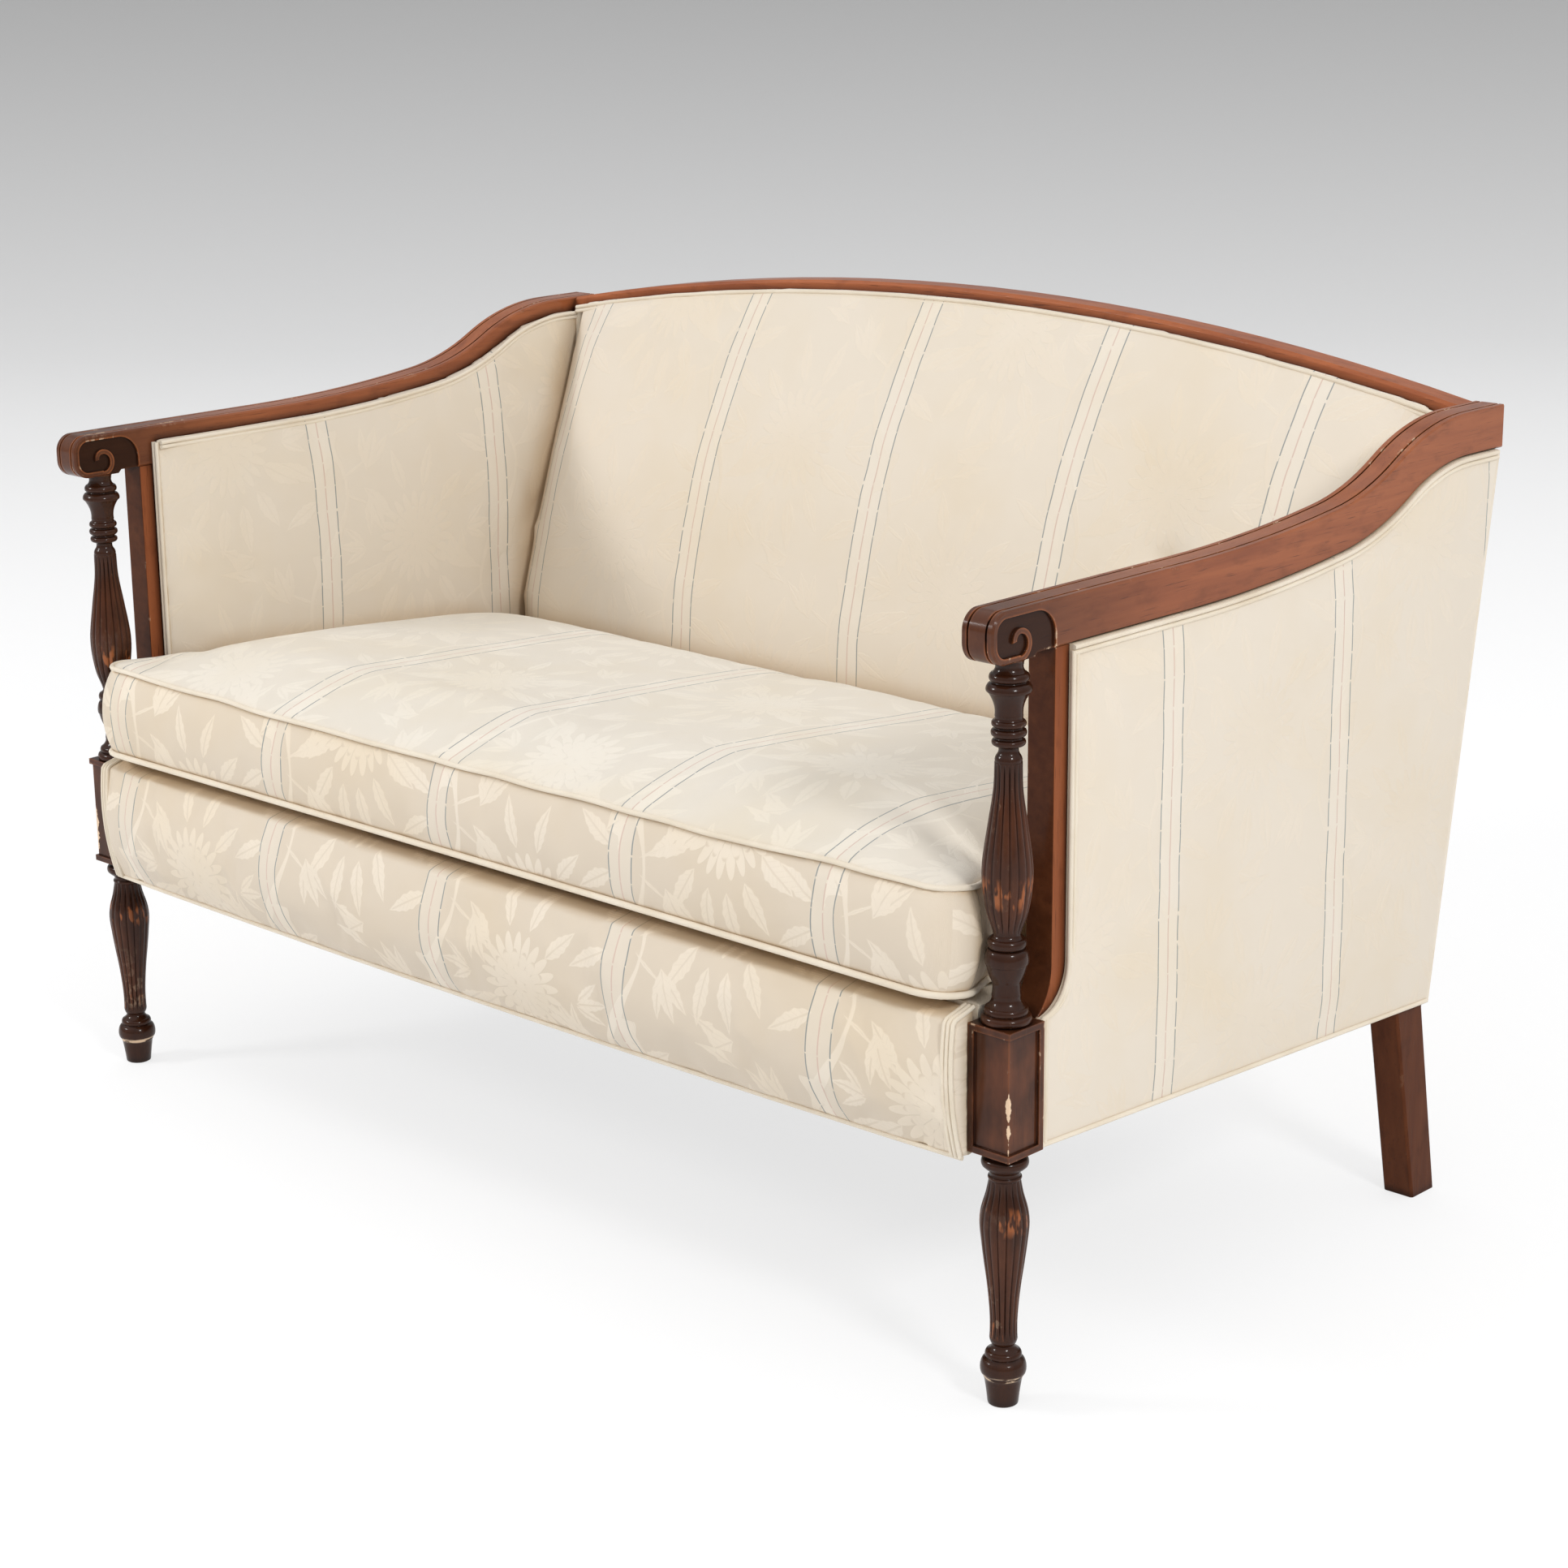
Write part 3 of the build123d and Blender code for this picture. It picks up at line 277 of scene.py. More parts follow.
# direction of the grain, tone, coat of polish, share of chipped edge, worn colour on the arrises
upright, frontToBack, sideways = (0, 0, 0), (math.radians(90), 0, 0), (0, math.radians(90), 0)
woodFinishes = {
    "mahoganyTurned": {"turn": upright, "tone": 0.15, "coat": 0.38, "chips": 0.06, "rub": 0.35},
    "mahoganyUpright": {"turn": upright, "tone": 1.10, "coat": 0.05, "chips": 0.12, "rub": 0.55},
    "mahoganyLeg": {"turn": upright, "tone": 0.46, "coat": 0.05, "chips": 0.05, "rub": 0.40},
    "mahoganyShade": {"turn": frontToBack, "tone": 0.38, "coat": 0.10, "chips": 0.0, "rub": 0.20},
    "mahoganySunk": {"turn": frontToBack, "tone": 0.13, "coat": 0.20, "chips": 0.0, "rub": 0.15},
    "mahoganyDepth": {"turn": frontToBack, "tone": 1.32, "coat": 0.45, "chips": 0.0, "rub": 0.95},
    "mahoganyLength": {"turn": sideways, "tone": 1.65, "coat": 0.25, "chips": 0.05, "rub": 0.60},
}
postWear = {
    # lowest and highest point of a stretch where the dark polish has worn thin, and the tone it adds
    "thin": ((0.075, 0.178, 0.10), (0.2275, 0.340, 0.20), (0.425, 0.530, 0.12)),
    # heights where shoes, brooms and knees knock the posts, and the reach of each band
    "knocks": ((0.070, 0.010), (0.170, 0.014), (0.452, 0.016)),
    "scrape": (0.0250, 0.0290),  # lower edge of the foot's ring
    "chip": (0.236, 0.284),  # low on the block's outer front arris
    "arris": 0.01975,
    "chipWidth": 0.0048,
    "knockChips": 0.6,
    "knockScuffs": 0.7,
}
# the arms darken towards the front: a handling stain with painted shade added
armFrontDarkening = {"run": (-0.01, 0.20), "darkest": 0.28}


def bandMask(height, low, high, soft):
    return times(ramp(height, low - soft, low + soft), ramp(height, high + soft, high - soft))


def thinTone(coords, tone):  # reeds and blocks have lost more of the dark polish than the beads
    height = split(coords)["Z"]
    blotch = timesPlus(ramp(cloud(scaled(coords, 34, 34, 22), detail=3), 0.36, 0.66), 1.3, 0.35)
    for low, high, extra in postWear["thin"]:
        band = times(bandMask(height, low, high, 0.012), blotch)
        tone = timesPlus(band, extra, tone)
    return tone


def knockMask(coords):
    height = split(coords)["Z"]
    mask = 0.0
    for level, reach in postWear["knocks"]:
        away = absolute(minus(height, level))
        mask = larger(ramp(away, reach, reach * 0.4), mask)
    return mask


def gougeMask(coords):  # bare wood on the block's arris and on the foot's ring
    parts = split(coords)
    across = absolute(minus(absolute(parts["X"]), plan["postX"] + postWear["arris"]))
    depth = absolute(minus(parts["Y"], plan["postY"] - postWear["arris"]))
    jag = ramp(cloud(scaled(coords, 30, 30, 120), detail=4), 0.34, 0.72)
    reach = times(bandMask(parts["Z"], *postWear["chip"], 0.005), postWear["chipWidth"])
    chip = ramp(minus(times(jag, reach), plus(across, depth)), 0.0, 0.0005)
    graze = ramp(cloud(scaled(coords, 70, 70, 240), detail=3), 0.46, 0.54)
    scrape = times(graze, bandMask(parts["Z"], *postWear["scrape"], 0.0008))
    return larger(chip, scrape)


def frontStainAndShadeTone(coords, tone):  # hands have darkened the front of the arms, and painted shade darkens it further
    depth = split(coords)["Y"]
    low, high = armFrontDarkening["run"]
    undarkened = ramp(depth, plan["postY"] + low, plan["postY"] + high)
    return timesPlus(undarkened, tone * (1 - armFrontDarkening["darkest"]), tone * armFrontDarkening["darkest"])


def buildWood(name):
    finish = woodFinishes[name]
    material, tree, shader = startMaterial(name)
    coords = put(tree, "TexCoord").outputs["Object"]
    along = put(tree, "Mapping", {"Vector": coords, "Rotation": finish["turn"]}).outputs["Vector"]
    tone, chips, knocked, gouge = finish["tone"], finish["chips"], 0.0, 0.0
    if name == "mahoganyDepth":
        tone = frontStainAndShadeTone(coords, tone)
    if name == "mahoganyTurned":
        tone = thinTone(coords, tone)
        knocked = knockMask(coords)
        gouge = gougeMask(coords)
        chips = timesPlus(knocked, postWear["knockChips"], chips)
    grain = place(tree, grainGroup, Vector=along, Tone=tone)
    wearAndShade = place(tree, wearAndShadeGroup, Vector=coords, Chips=chips)
    # recesses darkened with dirt and painted shade in one
    color = tint(times(wearAndShade["DirtAndShade"], 0.92), grain["Color"], woodShades["dirtAndShade"])
    rub = times(wearAndShade["Rub"], finish["rub"])
    scuffs = times(times(wearAndShade["Scuff"], postWear["knockScuffs"]), knocked)
    chip = larger(wearAndShade["Chip"], gouge)
    color = tint(larger(rub, scuffs), color, woodShades["rubbed"])
    color = tint(chip, color, woodShades["bare"])
    feed(shader.inputs["Base Color"], color)
    haze = cloud(scaled(coords, 40, 40, 40), detail=3)
    rough = timesPlus(haze, 0.20, 0.24)
    rough = timesPlus(chip, 0.3, rough)
    feed(shader.inputs["Roughness"], rough)
    feed(shader.inputs["Specular IOR Level"], 0.05)
    feed(shader.inputs["Coat Weight"], finish["coat"])
    feed(shader.inputs["Coat Roughness"], 0.12)
    height = minus(grain["Height"], times(chip, 3.0))
    bumped(shader, height, 0.00008)
    return material


wood = {name: buildWood(name) for name in woodFinishes}


def buildFrameWood():
    material, tree, shader = startMaterial("sawnHardwood")
    coords = put(tree, "TexCoord").outputs["Object"]
    streak = cloud(scaled(coords, 12, 60, 60), detail=5)
    color = tint(ramp(streak, 0.3, 0.7), (0.40, 0.26, 0.14, 1), (0.62, 0.45, 0.28, 1))
    feed(shader.inputs["Base Color"], color)
    feed(shader.inputs["Roughness"], timesPlus(streak, 0.2, 0.55))
    bumped(shader, streak, 0.0004)
    return material


def buildWebbing(name, dark, light, pitch):
    material, tree, shader = startMaterial(name)
    coords = put(tree, "TexCoord").outputs["Object"]
    cut = 2 * math.pi / pitch
    parts = split(coords)
    warp = sine(times(parts["X"], cut))
    weft = sine(times(parts["Y"], cut))
    weave = timesPlus(times(warp, weft), 0.5, 0.5)
    fuzz = cloud(scaled(coords, 90, 90, 90))
    mixed = timesPlus(fuzz, 0.6, times(weave, 0.4))
    feed(shader.inputs["Base Color"], tint(mixed, dark, light))
    feed(shader.inputs["Roughness"], timesPlus(fuzz, 0.15, 0.8))
    bumped(shader, weave, 0.0003)
    return material


frameWood = buildFrameWood()
juteWebbing = buildWebbing("juteWebbing", (0.24, 0.17, 0.09, 1), (0.46, 0.36, 0.22, 1), 0.004)
blackCambric = buildWebbing("blackCambric", (0.012, 0.012, 0.013, 1), (0.04, 0.04, 0.042, 1), 0.0016)
print("wood and hidden finishes ready")


# damask: a half-drop of flower heads between fine striped bands with a trailing vine, sizes in millimetres
damask = {
    "bandPitch": 246.0,
    "bandShift": -41.0,
    "repeat": 262.0,
    "flowerRadius": 52.0,
    "vineSwing": 30.0,
    "lineGap": 13.6,
    "lineWidth": 0.62,
    "dash": 26.0,
}
clothShades = {
    "ground": (0.805, 0.735, 0.632, 1),
    "paintedShadeGround": (0.609, 0.500, 0.372, 1),
    "cream": (0.795, 0.705, 0.585, 1),
    "soiledCream": (0.765, 0.665, 0.530, 1),
    "paintedLightCream": (0.795, 0.768, 0.695, 1),
    "band": (0.825, 0.765, 0.665, 1),
    "blueLine": (0.15, 0.185, 0.20, 1),
    "redLine": (0.62, 0.43, 0.36, 1),
    "yellowed": (0.965, 0.915, 0.810, 1),
    "paintedCreaseShade": (0.52, 0.345, 0.165, 1),
    "welt": (0.800, 0.715, 0.585, 1),
    "soiledWelt": (0.715, 0.615, 0.470, 1),
    "twill": (0.56, 0.47, 0.35, 1),
}
leafSizes = {"Across": 0, "Up": 0, "Angle": 0, "Length": 20, "Width": 6}


def buildLeafGroup():
    tree, given, result = startGroup(
        "damaskLeaf",
        [("Vector", "Vector", None)] + [(label, "Float", value) for label, value in leafSizes.items()],
        [("Mask", "Float")])
    centre = joined(given["Across"], given["Up"])
    shifted = vectorCalc("SUBTRACT", given["Vector"], {1: centre})["Vector"]
    turn = {"Vector": shifted, "Angle": times(given["Angle"], -math.pi / 180)}
    turned = put(tree, "VectorRotate", turn, rotation_type="Z_AXIS").outputs["Vector"]
    parts = split(turned)
    t = over(parts["X"], given["Length"])
    belly = minus(1.0, times(t, t))
    taper = timesPlus(t, -0.35, 1.0)  # fuller towards the stem
    lobes = timesPlus(sine(times(t, 16.0)), 0.08, 1.0)
    half = times(times(times(belly, taper), lobes), given["Width"])
    off = absolute(parts["Y"])
    body = ramp(minus(half, off), -0.5, 0.7)
    vein = ramp(off, 1.3, 0.6)
    slant = sine(times(minus(parts["X"], off), 2 * math.pi / 6.5))
    vein = larger(vein, times(ramp(slant, 0.75, 0.97), 0.38))
    vein = times(vein, ramp(minus(half, off), 0.8, 2.0))
    feed(result["Mask"], times(body, timesPlus(vein, -0.75, 1.0)))
    return tree


def buildFlowerGroup():
    tree, given, result = startGroup(
        "damaskFlower", [("Vector", "Vector", None), ("Radius", "Float", 50)], [("Mask", "Float")])
    parts = split(given["Vector"])
    flat = joined(parts["X"], parts["Y"])
    far = vectorCalc("LENGTH", flat)["Value"]
    r = over(far, given["Radius"])
    angle = calc("ARCTAN2", parts["X"], parts["Y"])

    def petals(count, low, high, shift):  # one ring of petals, each parted from the next
        wave = absolute(calc("COSINE", timesPlus(angle, count / 2, shift)))
        tip = timesPlus(calc("POWER", wave, 0.9), high - low, low)
        inside = ramp(minus(tip, r), -0.010, 0.012)
        parted = ramp(wave, 0.06, 0.20)
        return inside, parted

    outer, outerGap = petals(22, 0.66, 1.0, 0.0)
    middle, middleGap = petals(16, 0.46, 0.70, 0.7)
    inner, innerGap = petals(10, 0.24, 0.42, 0.2)
    ringOuter = times(outer, outerGap)
    rim = minus(1.0, middle)
    mask = times(ringOuter, rim)
    ringMiddle = times(times(middle, middleGap), minus(1.0, inner))
    mask = larger(mask, times(ringMiddle, ramp(r, 0.66, 0.62)))
    mask = larger(mask, times(times(inner, innerGap), ramp(r, 0.13, 0.17)))
    mask = larger(mask, ramp(r, 0.11, 0.09))
    feed(result["Mask"], mask)
    return tree


leafGroup = buildLeafGroup()
flowerGroup = buildFlowerGroup()

# leaves round a flower head, mirrored: across, up, angle, length, width
flowerLeaves = (
    (66, -36, -30, 26, 9.5), (44, -70, -58, 25, 8.5), (15, -88, -82, 27, 8.0), (54, 50, 42, 23, 7.5),
    (21, 78, 72, 25, 7.0), (92, 2, 8, 19, 6.0), (88, 14, 40, 17, 4.6), (88, -10, -24, 17, 4.6),
)
# one half wave of the vine, mirrored: a stem, a bud of three petals and a leaf on the other side
vineLeaves = (
    (43, 17, 26, 22, 1.7), (68, 36, 66, 25, 8.5), (58, 38, 92, 22, 6.3), (78, 32, 44, 22, 6.3),
    (-34, 24, 152, 26, 8.0),
)


def addLeaves(tree, mask, vector, leaves):
    for leaf in leaves:
        made = place(tree, leafGroup, Vector=vector, **dict(zip(leafSizes, leaf)))
        mask = larger(mask, made["Mask"])
    return mask


def buildDamaskGroup():
    tree, given, result = startGroup(
        "damaskCloth",
        [("Vector", "Vector", None), ("Contrast", "Float", 1.0), ("Bleach", "Float", 0.0)],
        [("Color", "Color"), ("Motif", "Float"), ("Height", "Float")])
    size = scaled(given["Vector"], 1000, 1000, 0)
    parts = split(size)
    pitch, repeat = damask["bandPitch"], damask["repeat"]
    drift = cloud(scaled(size, 0.02, 0.02, 0), detail=1)  # the weave never lies quite straight
    u = plus(minus(parts["X"], damask["bandShift"]), timesPlus(drift, 3.0, -1.5))
    v = parts["Y"]
    band = wrapped(u, pitch / 2, -pitch / 2)
    column = calc("FLOOR", over(u, pitch))
    drop = times(calc("FLOORED_MODULO", column, 2.0), repeat / 2)
    flowerAcross = wrapped(plus(u, pitch / 2), pitch / 2, -pitch / 2)
    flowerUp = wrapped(plus(v, drop), repeat / 2, -repeat / 2)
    flowerPlace = joined(flowerAcross, flowerUp)
    mask = place(tree, flowerGroup, Vector=flowerPlace, Radius=damask["flowerRadius"])["Mask"]
    mirrored = joined(absolute(flowerAcross), flowerUp)
    mask = addLeaves(tree, mask, mirrored, flowerLeaves)
    # the vine swings to the other side every half wave
    swing = sine(times(v, 2 * math.pi / repeat))
    stem = absolute(minus(band, times(swing, damask["vineSwing"])))
    broad = timesPlus(ramp(absolute(swing), 1.0, 0.0), 6.0, 1.8)
    mask = larger(mask, ramp(minus(stem, broad), 0.6, -0.4))
    side = calc("SIGN", swing)
    halfWave = minus(wrapped(v, repeat / 2, 0.0), repeat / 4)
    halfWave = absolute(minus(halfWave, 5.0))
    vinePlace = joined(times(band, side), halfWave)
    mask = addLeaves(tree, mask, vinePlace, vineLeaves)
    feed(result["Motif"], mask)
    # a stronger contrast paints the satin's sheen shade: a darker ground under a stronger motif
    strength = times(mask, calc("MINIMUM", times(given["Contrast"], 1.6), 1.0))
    soil = cloud(scaled(size, 0.006, 0.006, 0), detail=3)
    ground = tint(given["Contrast"], clothShades["ground"], clothShades["paintedShadeGround"])
    cream = tint(ramp(soil, 0.35, 0.7), clothShades["cream"], clothShades["soiledCream"])
    color = tint(strength, ground, cream)
    # painted light: the cloth is paled towards a lighter cream
    color = tint(given["Bleach"], color, clothShades["paintedLightCream"])
    # three fine dashed lines on a paler band
    gap = damask["lineGap"]
    inBand = ramp(absolute(band), gap + 2, gap)
    color = tint(times(inBand, 0.32), color, clothShades["band"])
    stitch = wrapped(v, damask["dash"], 0.0)
    flicker = cloud(scaled(size, 0.5, 0.12, 0), detail=1)
    dash = ramp(timesPlus(flicker, 18.0, stitch), 34.5, 33.0)
    for centre, shade in ((-gap, "blueLine"), (0.0, "redLine"), (gap, "blueLine")):
        off = absolute(minus(band, centre))
        line = times(ramp(off, damask["lineWidth"] + 0.35, damask["lineWidth"] - 0.25), dash)
        color = tint(times(line, 0.80), color, clothShades[shade])
    # age: broad yellowed patches; and painted shade in the creases, warm like light bounced between the
    # cream cloth
    aged = cloud(scaled(size, 0.0045, 0.0045, 0), detail=4)
    color = tint(times(ramp(aged, 0.46, 0.72), 0.6), color, clothShades["yellowed"], "MULTIPLY")
    paintedCreaseShade = put(tree, "AmbientOcclusion", {"Distance": 0.040}, samples=4).outputs["AO"]
    color = tint(times(ramp(paintedCreaseShade, 0.78, 0.25), 0.65), color, clothShades["paintedCreaseShade"])
    feed(result["Color"], color)
    # satin ground floats along the length, motif floats across it
    rib = sine(times(parts["X"], 2 * math.pi / 0.9))
    pick = sine(times(parts["Y"], 2 * math.pi / 0.7))
    weave = put(tree, "Mix", {0: mask, 2: rib, 3: pick}, data_type="FLOAT").outputs[0]
    feed(result["Height"], timesPlus(mask, 1.2, times(weave, 0.5)))
    return tree


damaskGroup = buildDamaskGroup()


def buildDamask(name, paintedSheenContrast, paintedLight=0.0):
    material, tree, shader = startMaterial(name)
    coords = put(tree, "UVMap", uv_map="cloth").outputs["UV"]
    cloth = place(tree, damaskGroup, Vector=coords, Contrast=paintedSheenContrast, Bleach=paintedLight)
    feed(shader.inputs["Base Color"], cloth["Color"])
    feed(shader.inputs["Roughness"], timesPlus(cloth["Motif"], 0.22, 0.52))
    feed(shader.inputs["Specular IOR Level"], 0.35)
    feed(shader.inputs["Sheen Weight"], 0.12)
    feed(shader.inputs["Sheen Roughness"], 0.4)
    bumped(shader, cloth["Height"], 0.00012)
    return material


# lit and shaded copies of one damask: the front pieces get a darker ground and stronger motif as painted
# sheen shade, the back the faintest
damaskStrong = buildDamask("creamDamaskFront", 0.66)
# the seat's copy is paled with painted light, the arms' a little
damaskSeat = buildDamask("creamDamaskSeat", 0.62, 0.5)
damaskArm = buildDamask("creamDamaskArm", 0.40, 0.1)
damaskFaint = buildDamask("creamDamaskBack", 0.30)


def buildWeltCloth():
    material, tree, shader = startMaterial("creamWelt")
    coords = put(tree, "TexCoord").outputs["Object"]
    parts = split(coords)
    slant = plus(plus(parts["X"], parts["Y"]), parts["Z"])
    twill = timesPlus(sine(times(slant, 2 * math.pi / 0.0016)), 0.5, 0.5)
    soil = cloud(scaled(coords, 14, 14, 14), detail=4)
    color = tint(ramp(soil, 0.35, 0.72), clothShades["welt"], clothShades["soiledWelt"])
    color = tint(times(twill, 0.10), color, clothShades["twill"])
    feed(shader.inputs["Base Color"], color)
    feed(shader.inputs["Roughness"], timesPlus(soil, 0.15, 0.6))
    feed(shader.inputs["Sheen Weight"], 0.12)
    bumped(shader, twill, 0.00015)
    return material


weltCloth = buildWeltCloth()
print("damask and welt cloth ready")


# mesh helpers

def linked(name, data):  # a new object in the scene
    made = bpy.data.objects.new(name, data)
    bpy.context.scene.collection.objects.link(made)
    return made


def meshFrom(name, bm):
    mesh = bpy.data.meshes.new(name)
    bm.to_mesh(mesh)
    bm.free()
    return mesh


def smoothShaded(mesh):
    mesh.polygons.foreach_set("use_smooth", [True] * len(mesh.polygons))


def onlyMaterial(mesh, material):
    mesh.materials.clear()
    mesh.materials.append(material)


def finishMesh(name, mesh, material, smooth, body="frame"):
    piece = linked(name, mesh)
    onlyMaterial(mesh, material)
    smoothShaded(mesh)
    mesh.set_sharp_from_angle(angle=math.radians(smooth))
    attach(piece, body)
    return piece


def finishPiece(name, bm, material, smooth):
    bmesh.ops.recalc_face_normals(bm, faces=bm.faces)
    return finishMesh(name, meshFrom(name, bm), material, smooth)


def mergedCopy(node, reshape=None):
    bm = bmesh.new()
    bm.from_mesh(nodes[node].data)
    bmesh.ops.remove_doubles(bm, verts=bm.verts, dist=2e-5)
    if reshape:
        reshape(bm)
        bmesh.ops.remove_doubles(bm, verts=bm.verts, dist=2e-5)
    bmesh.ops.dissolve_limit(bm, angle_limit=math.radians(0.3), verts=bm.verts, edges=bm.edges)
    return bm


def gridCut(bm, axes, step):  # parallel cuts through the whole piece
    for axis in axes:
        values = [v.co[axis] for v in bm.verts]
        low, high = min(values), max(values)
        count = max(int(round((high - low) / step)), 1)
        normal = Vector([1.0 if i == axis else 0.0 for i in range(3)])
        for i in range(1, count):
            geom = bm.verts[:] + bm.edges[:] + bm.faces[:]
            cut = normal * (low + (high - low) * i / count)
            bmesh.ops.bisect_plane(bm, geom=geom, dist=1e-6, plane_co=cut, plane_no=normal)


def splitLargeFaces(bm):
    bmesh.ops.triangulate(bm, faces=[f for f in bm.faces if len(f.verts) > 4])


def smoothed(bm, verts, rounds):
    for i in range(rounds):
        bmesh.ops.smooth_vert(bm, verts=verts, factor=0.5, use_axis_x=True, use_axis_y=True, use_axis_z=True)


def softArris(piece, width, segments=2):
    bevel = piece.modifiers.new("arris", "BEVEL")
    bevel.width = width
    bevel.segments = segments
    bevel.limit_method = "ANGLE"
    bevel.angle_limit = math.radians(32)
    bevel.harden_normals = True


def layPattern(mesh, choose):  # cloth coordinates in metres, from each face's place and direction
    layer = mesh.uv_layers.get("cloth") or mesh.uv_layers.new(name="cloth")
    for face in mesh.polygons:
        for index in face.loop_indices:
            co = mesh.vertices[mesh.loops[index].vertex_index].co
            layer.data[index].uv = choose(co, face.normal)


patternStart = {"insideArm": 0.188, "outsideArm": 0.263, "cushionSide": 0.205}


def acrossFront(co, normal):
    return co.x, co.z


def acrossInside(co, normal):
    return co.y - plan["postY"] + patternStart["insideArm"], co.z


def acrossOutside(co, normal):
    return co.y - plan["postY"] + patternStart["outsideArm"], co.z


def applied(piece):  # the piece's mesh with its modifiers in it
    graph = bpy.context.evaluated_depsgraph_get()
    mesh = bpy.data.meshes.new_from_object(piece.evaluated_get(graph))
    old = piece.data
    piece.modifiers.clear()
    piece.data = mesh
    bpy.data.meshes.remove(old)


# front posts

postPiece = {
    "reeds": 16,
    "perReed": 8,
    "reedDepth": 1.9,
    "blockBottom": 227.5,
    "blockTop": 340.0,
    "capTop": 645.0,
    "blockSize": 44.5,
    "panelBorder": 6.0,
    "panelDepth": 2.5,
    "reedRound": 0.97,
    "reedEnds": (0.05, 0.955),  # shares of the height where the reeds run out
    "sole": [(0, 11.6, 0), (0.8, 12.9, 0)],  # height, radius and reed of the foot's eased edge
    # first radius, then rise, radius at the end of the step, bulge outwards
    "foot": (13.0, (
        (24.0, 16.2, -0.3), (3.0, 17.0, 0.3), (15.0, 15.8, 3.2), (1.2, 14.6, 0.0), (5.6, 13.6, 1.5),
        (5.2, 9.6, -0.9), (6.0, 11.9, 0.5))),
    "collar": (13.0, (
        (3.4, 13.2, 1.2), (1.0, 12.8, 0.0), (5.6, 16.8, -1.4), (1.2, 17.4, 0.0), (8.3, 17.4, 2.6),
        (1.4, 16.0, 0.0), (3.6, 18.6, -0.6))),
    "base": (19.0, (
        (7.5, 18.8, 2.4), (1.0, 17.4, 0.0), (5.6, 16.4, 1.5), (9.4, 12.3, -1.6), (11.0, 12.0, -0.5),
        (15.5, 17.2, 0.6), (13.0, 15.4, 1.9), (1.0, 13.8, 0.0), (8.4, 13.8, 2.6), (4.0, 11.4, -0.7))),
    "cap": (11.0, (
        (6.6, 9.2, 0.9), (5.4, 8.4, -0.6), (1.6, 11.6, 0.0), (5.4, 12.0, 2.1), (2.2, 12.2, -0.8),
        (6.2, 12.4, 2.3), (2.0, 12.4, -0.8), (5.4, 12.0, 1.9), (3.2, 11.6, -0.4), (19.0, 17.0, -2.0),
        (0.8, 17.6, 0.0), (7.4, 15.2, 2.2), (1.8, 14.8, -0.8), (6.6, 13.6, 2.2), (6.9, 11.6, -1.1),
        (4.5, 13.2, -0.5))),
    # share of the height, radius
    "legSwell": (
        (0.0, 11.7), (0.12, 11.7), (0.24, 12.9), (0.36, 14.8), (0.48, 17.2), (0.61, 19.5), (0.73, 21.0),
        (0.82, 19.6), (0.91, 15.9), (1.0, 13.4)),
    "balusterSwell": (
        (0.0, 11.4), (0.03, 12.6), (0.12, 17.1), (0.23, 19.9), (0.33, 21.1), (0.43, 20.6), (0.63, 16.6),
        (0.84, 12.2), (1.0, 11.4)),
}


def turnedRings(z, radius, steps):  # heights and radii along one turned stretch
    rings = [(z, radius, 0.0)]
    for rise, endRadius, bulge in steps:
        count = 9 if abs(bulge) > 1.0 else (5 if bulge else 1)
        for i in range(1, count + 1):
            t = 0.5 - 0.5 * math.cos(math.pi * i / count)
            swell = math.sqrt(max(1 - (2 * t - 1) ** 2, 0)) if bulge > 1.0 else 1 - (2 * t - 1) ** 2
            rings.append((z + rise * t, radius + (endRadius - radius) * t + bulge * swell, 0.0))
        z, radius = z + rise, endRadius
    return rings


def reededRings(low, high, swell, count=34):
    rings = []
    for i in range(count + 1):
        share = i / count
        k = max(j for j in range(len(swell) - 1) if swell[j][0] <= share or j == 0)
        before, here, there, after = (swell[min(max(k + d, 0), len(swell) - 1)] for d in (-1, 0, 1, 2))
        t = (share - here[0]) / (there[0] - here[0])
        m0 = (there[1] - before[1]) / max(there[0] - before[0], 1e-6) * (there[0] - here[0])
        m1 = (after[1] - here[1]) / max(after[0] - here[0], 1e-6) * (there[0] - here[0])
        radius = ((2 * t ** 3 - 3 * t ** 2 + 1) * here[1] + (t ** 3 - 2 * t ** 2 + t) * m0
                  + (3 * t ** 2 - 2 * t ** 3) * there[1] + (t ** 3 - t ** 2) * m1)
        first, last = postPiece["reedEnds"]
        depth = postPiece["reedDepth"] * smoothStep(0, first, share) * smoothStep(1.0, last, share)
        rings.append((low + (high - low) * share, radius, depth))
    return rings


def lathe(bm, x, rings):  # one ring of edges, drawn up ring by ring
    around = postPiece["reeds"] * postPiece["perReed"]
    start = bmesh.ops.create_circle(bm, cap_ends=True, segments=around, radius=0.01)["verts"]
    angles = {v: math.atan2(v.co.y, v.co.x) for v in start}
    edges = list(dict.fromkeys(e for v in start for e in v.link_edges))

    def shape(verts, z, radius, depth):
        for v in verts:
            reed = (angles[v] / (2 * math.pi) * postPiece["reeds"]) % 1.0 * 2 - 1
            r = (radius - depth * (1 - math.sqrt(max(1 - postPiece["reedRound"] * reed * reed, 0)))) / 1000
            v.co = at(x + r * math.cos(angles[v]), r * math.sin(angles[v]), z / 1000)

    shape(start, *rings[0])
    current = set(start)
    for ring in rings[1:]:
        made = bmesh.ops.extrude_edge_only(bm, edges=edges)["geom"]
        fresh = [g for g in made if isinstance(g, bmesh.types.BMVert)]
        ringSet = set(fresh)
        edges = [g for g in made if isinstance(g, bmesh.types.BMEdge) and ringSet.issuperset(g.verts)]
        for v in fresh:
            angles[v] = next(angles[e.other_vert(v)] for e in v.link_edges if e.other_vert(v) in current)
        shape(fresh, *ring)
        current = set(fresh)
    bmesh.ops.contextual_create(bm, geom=edges)


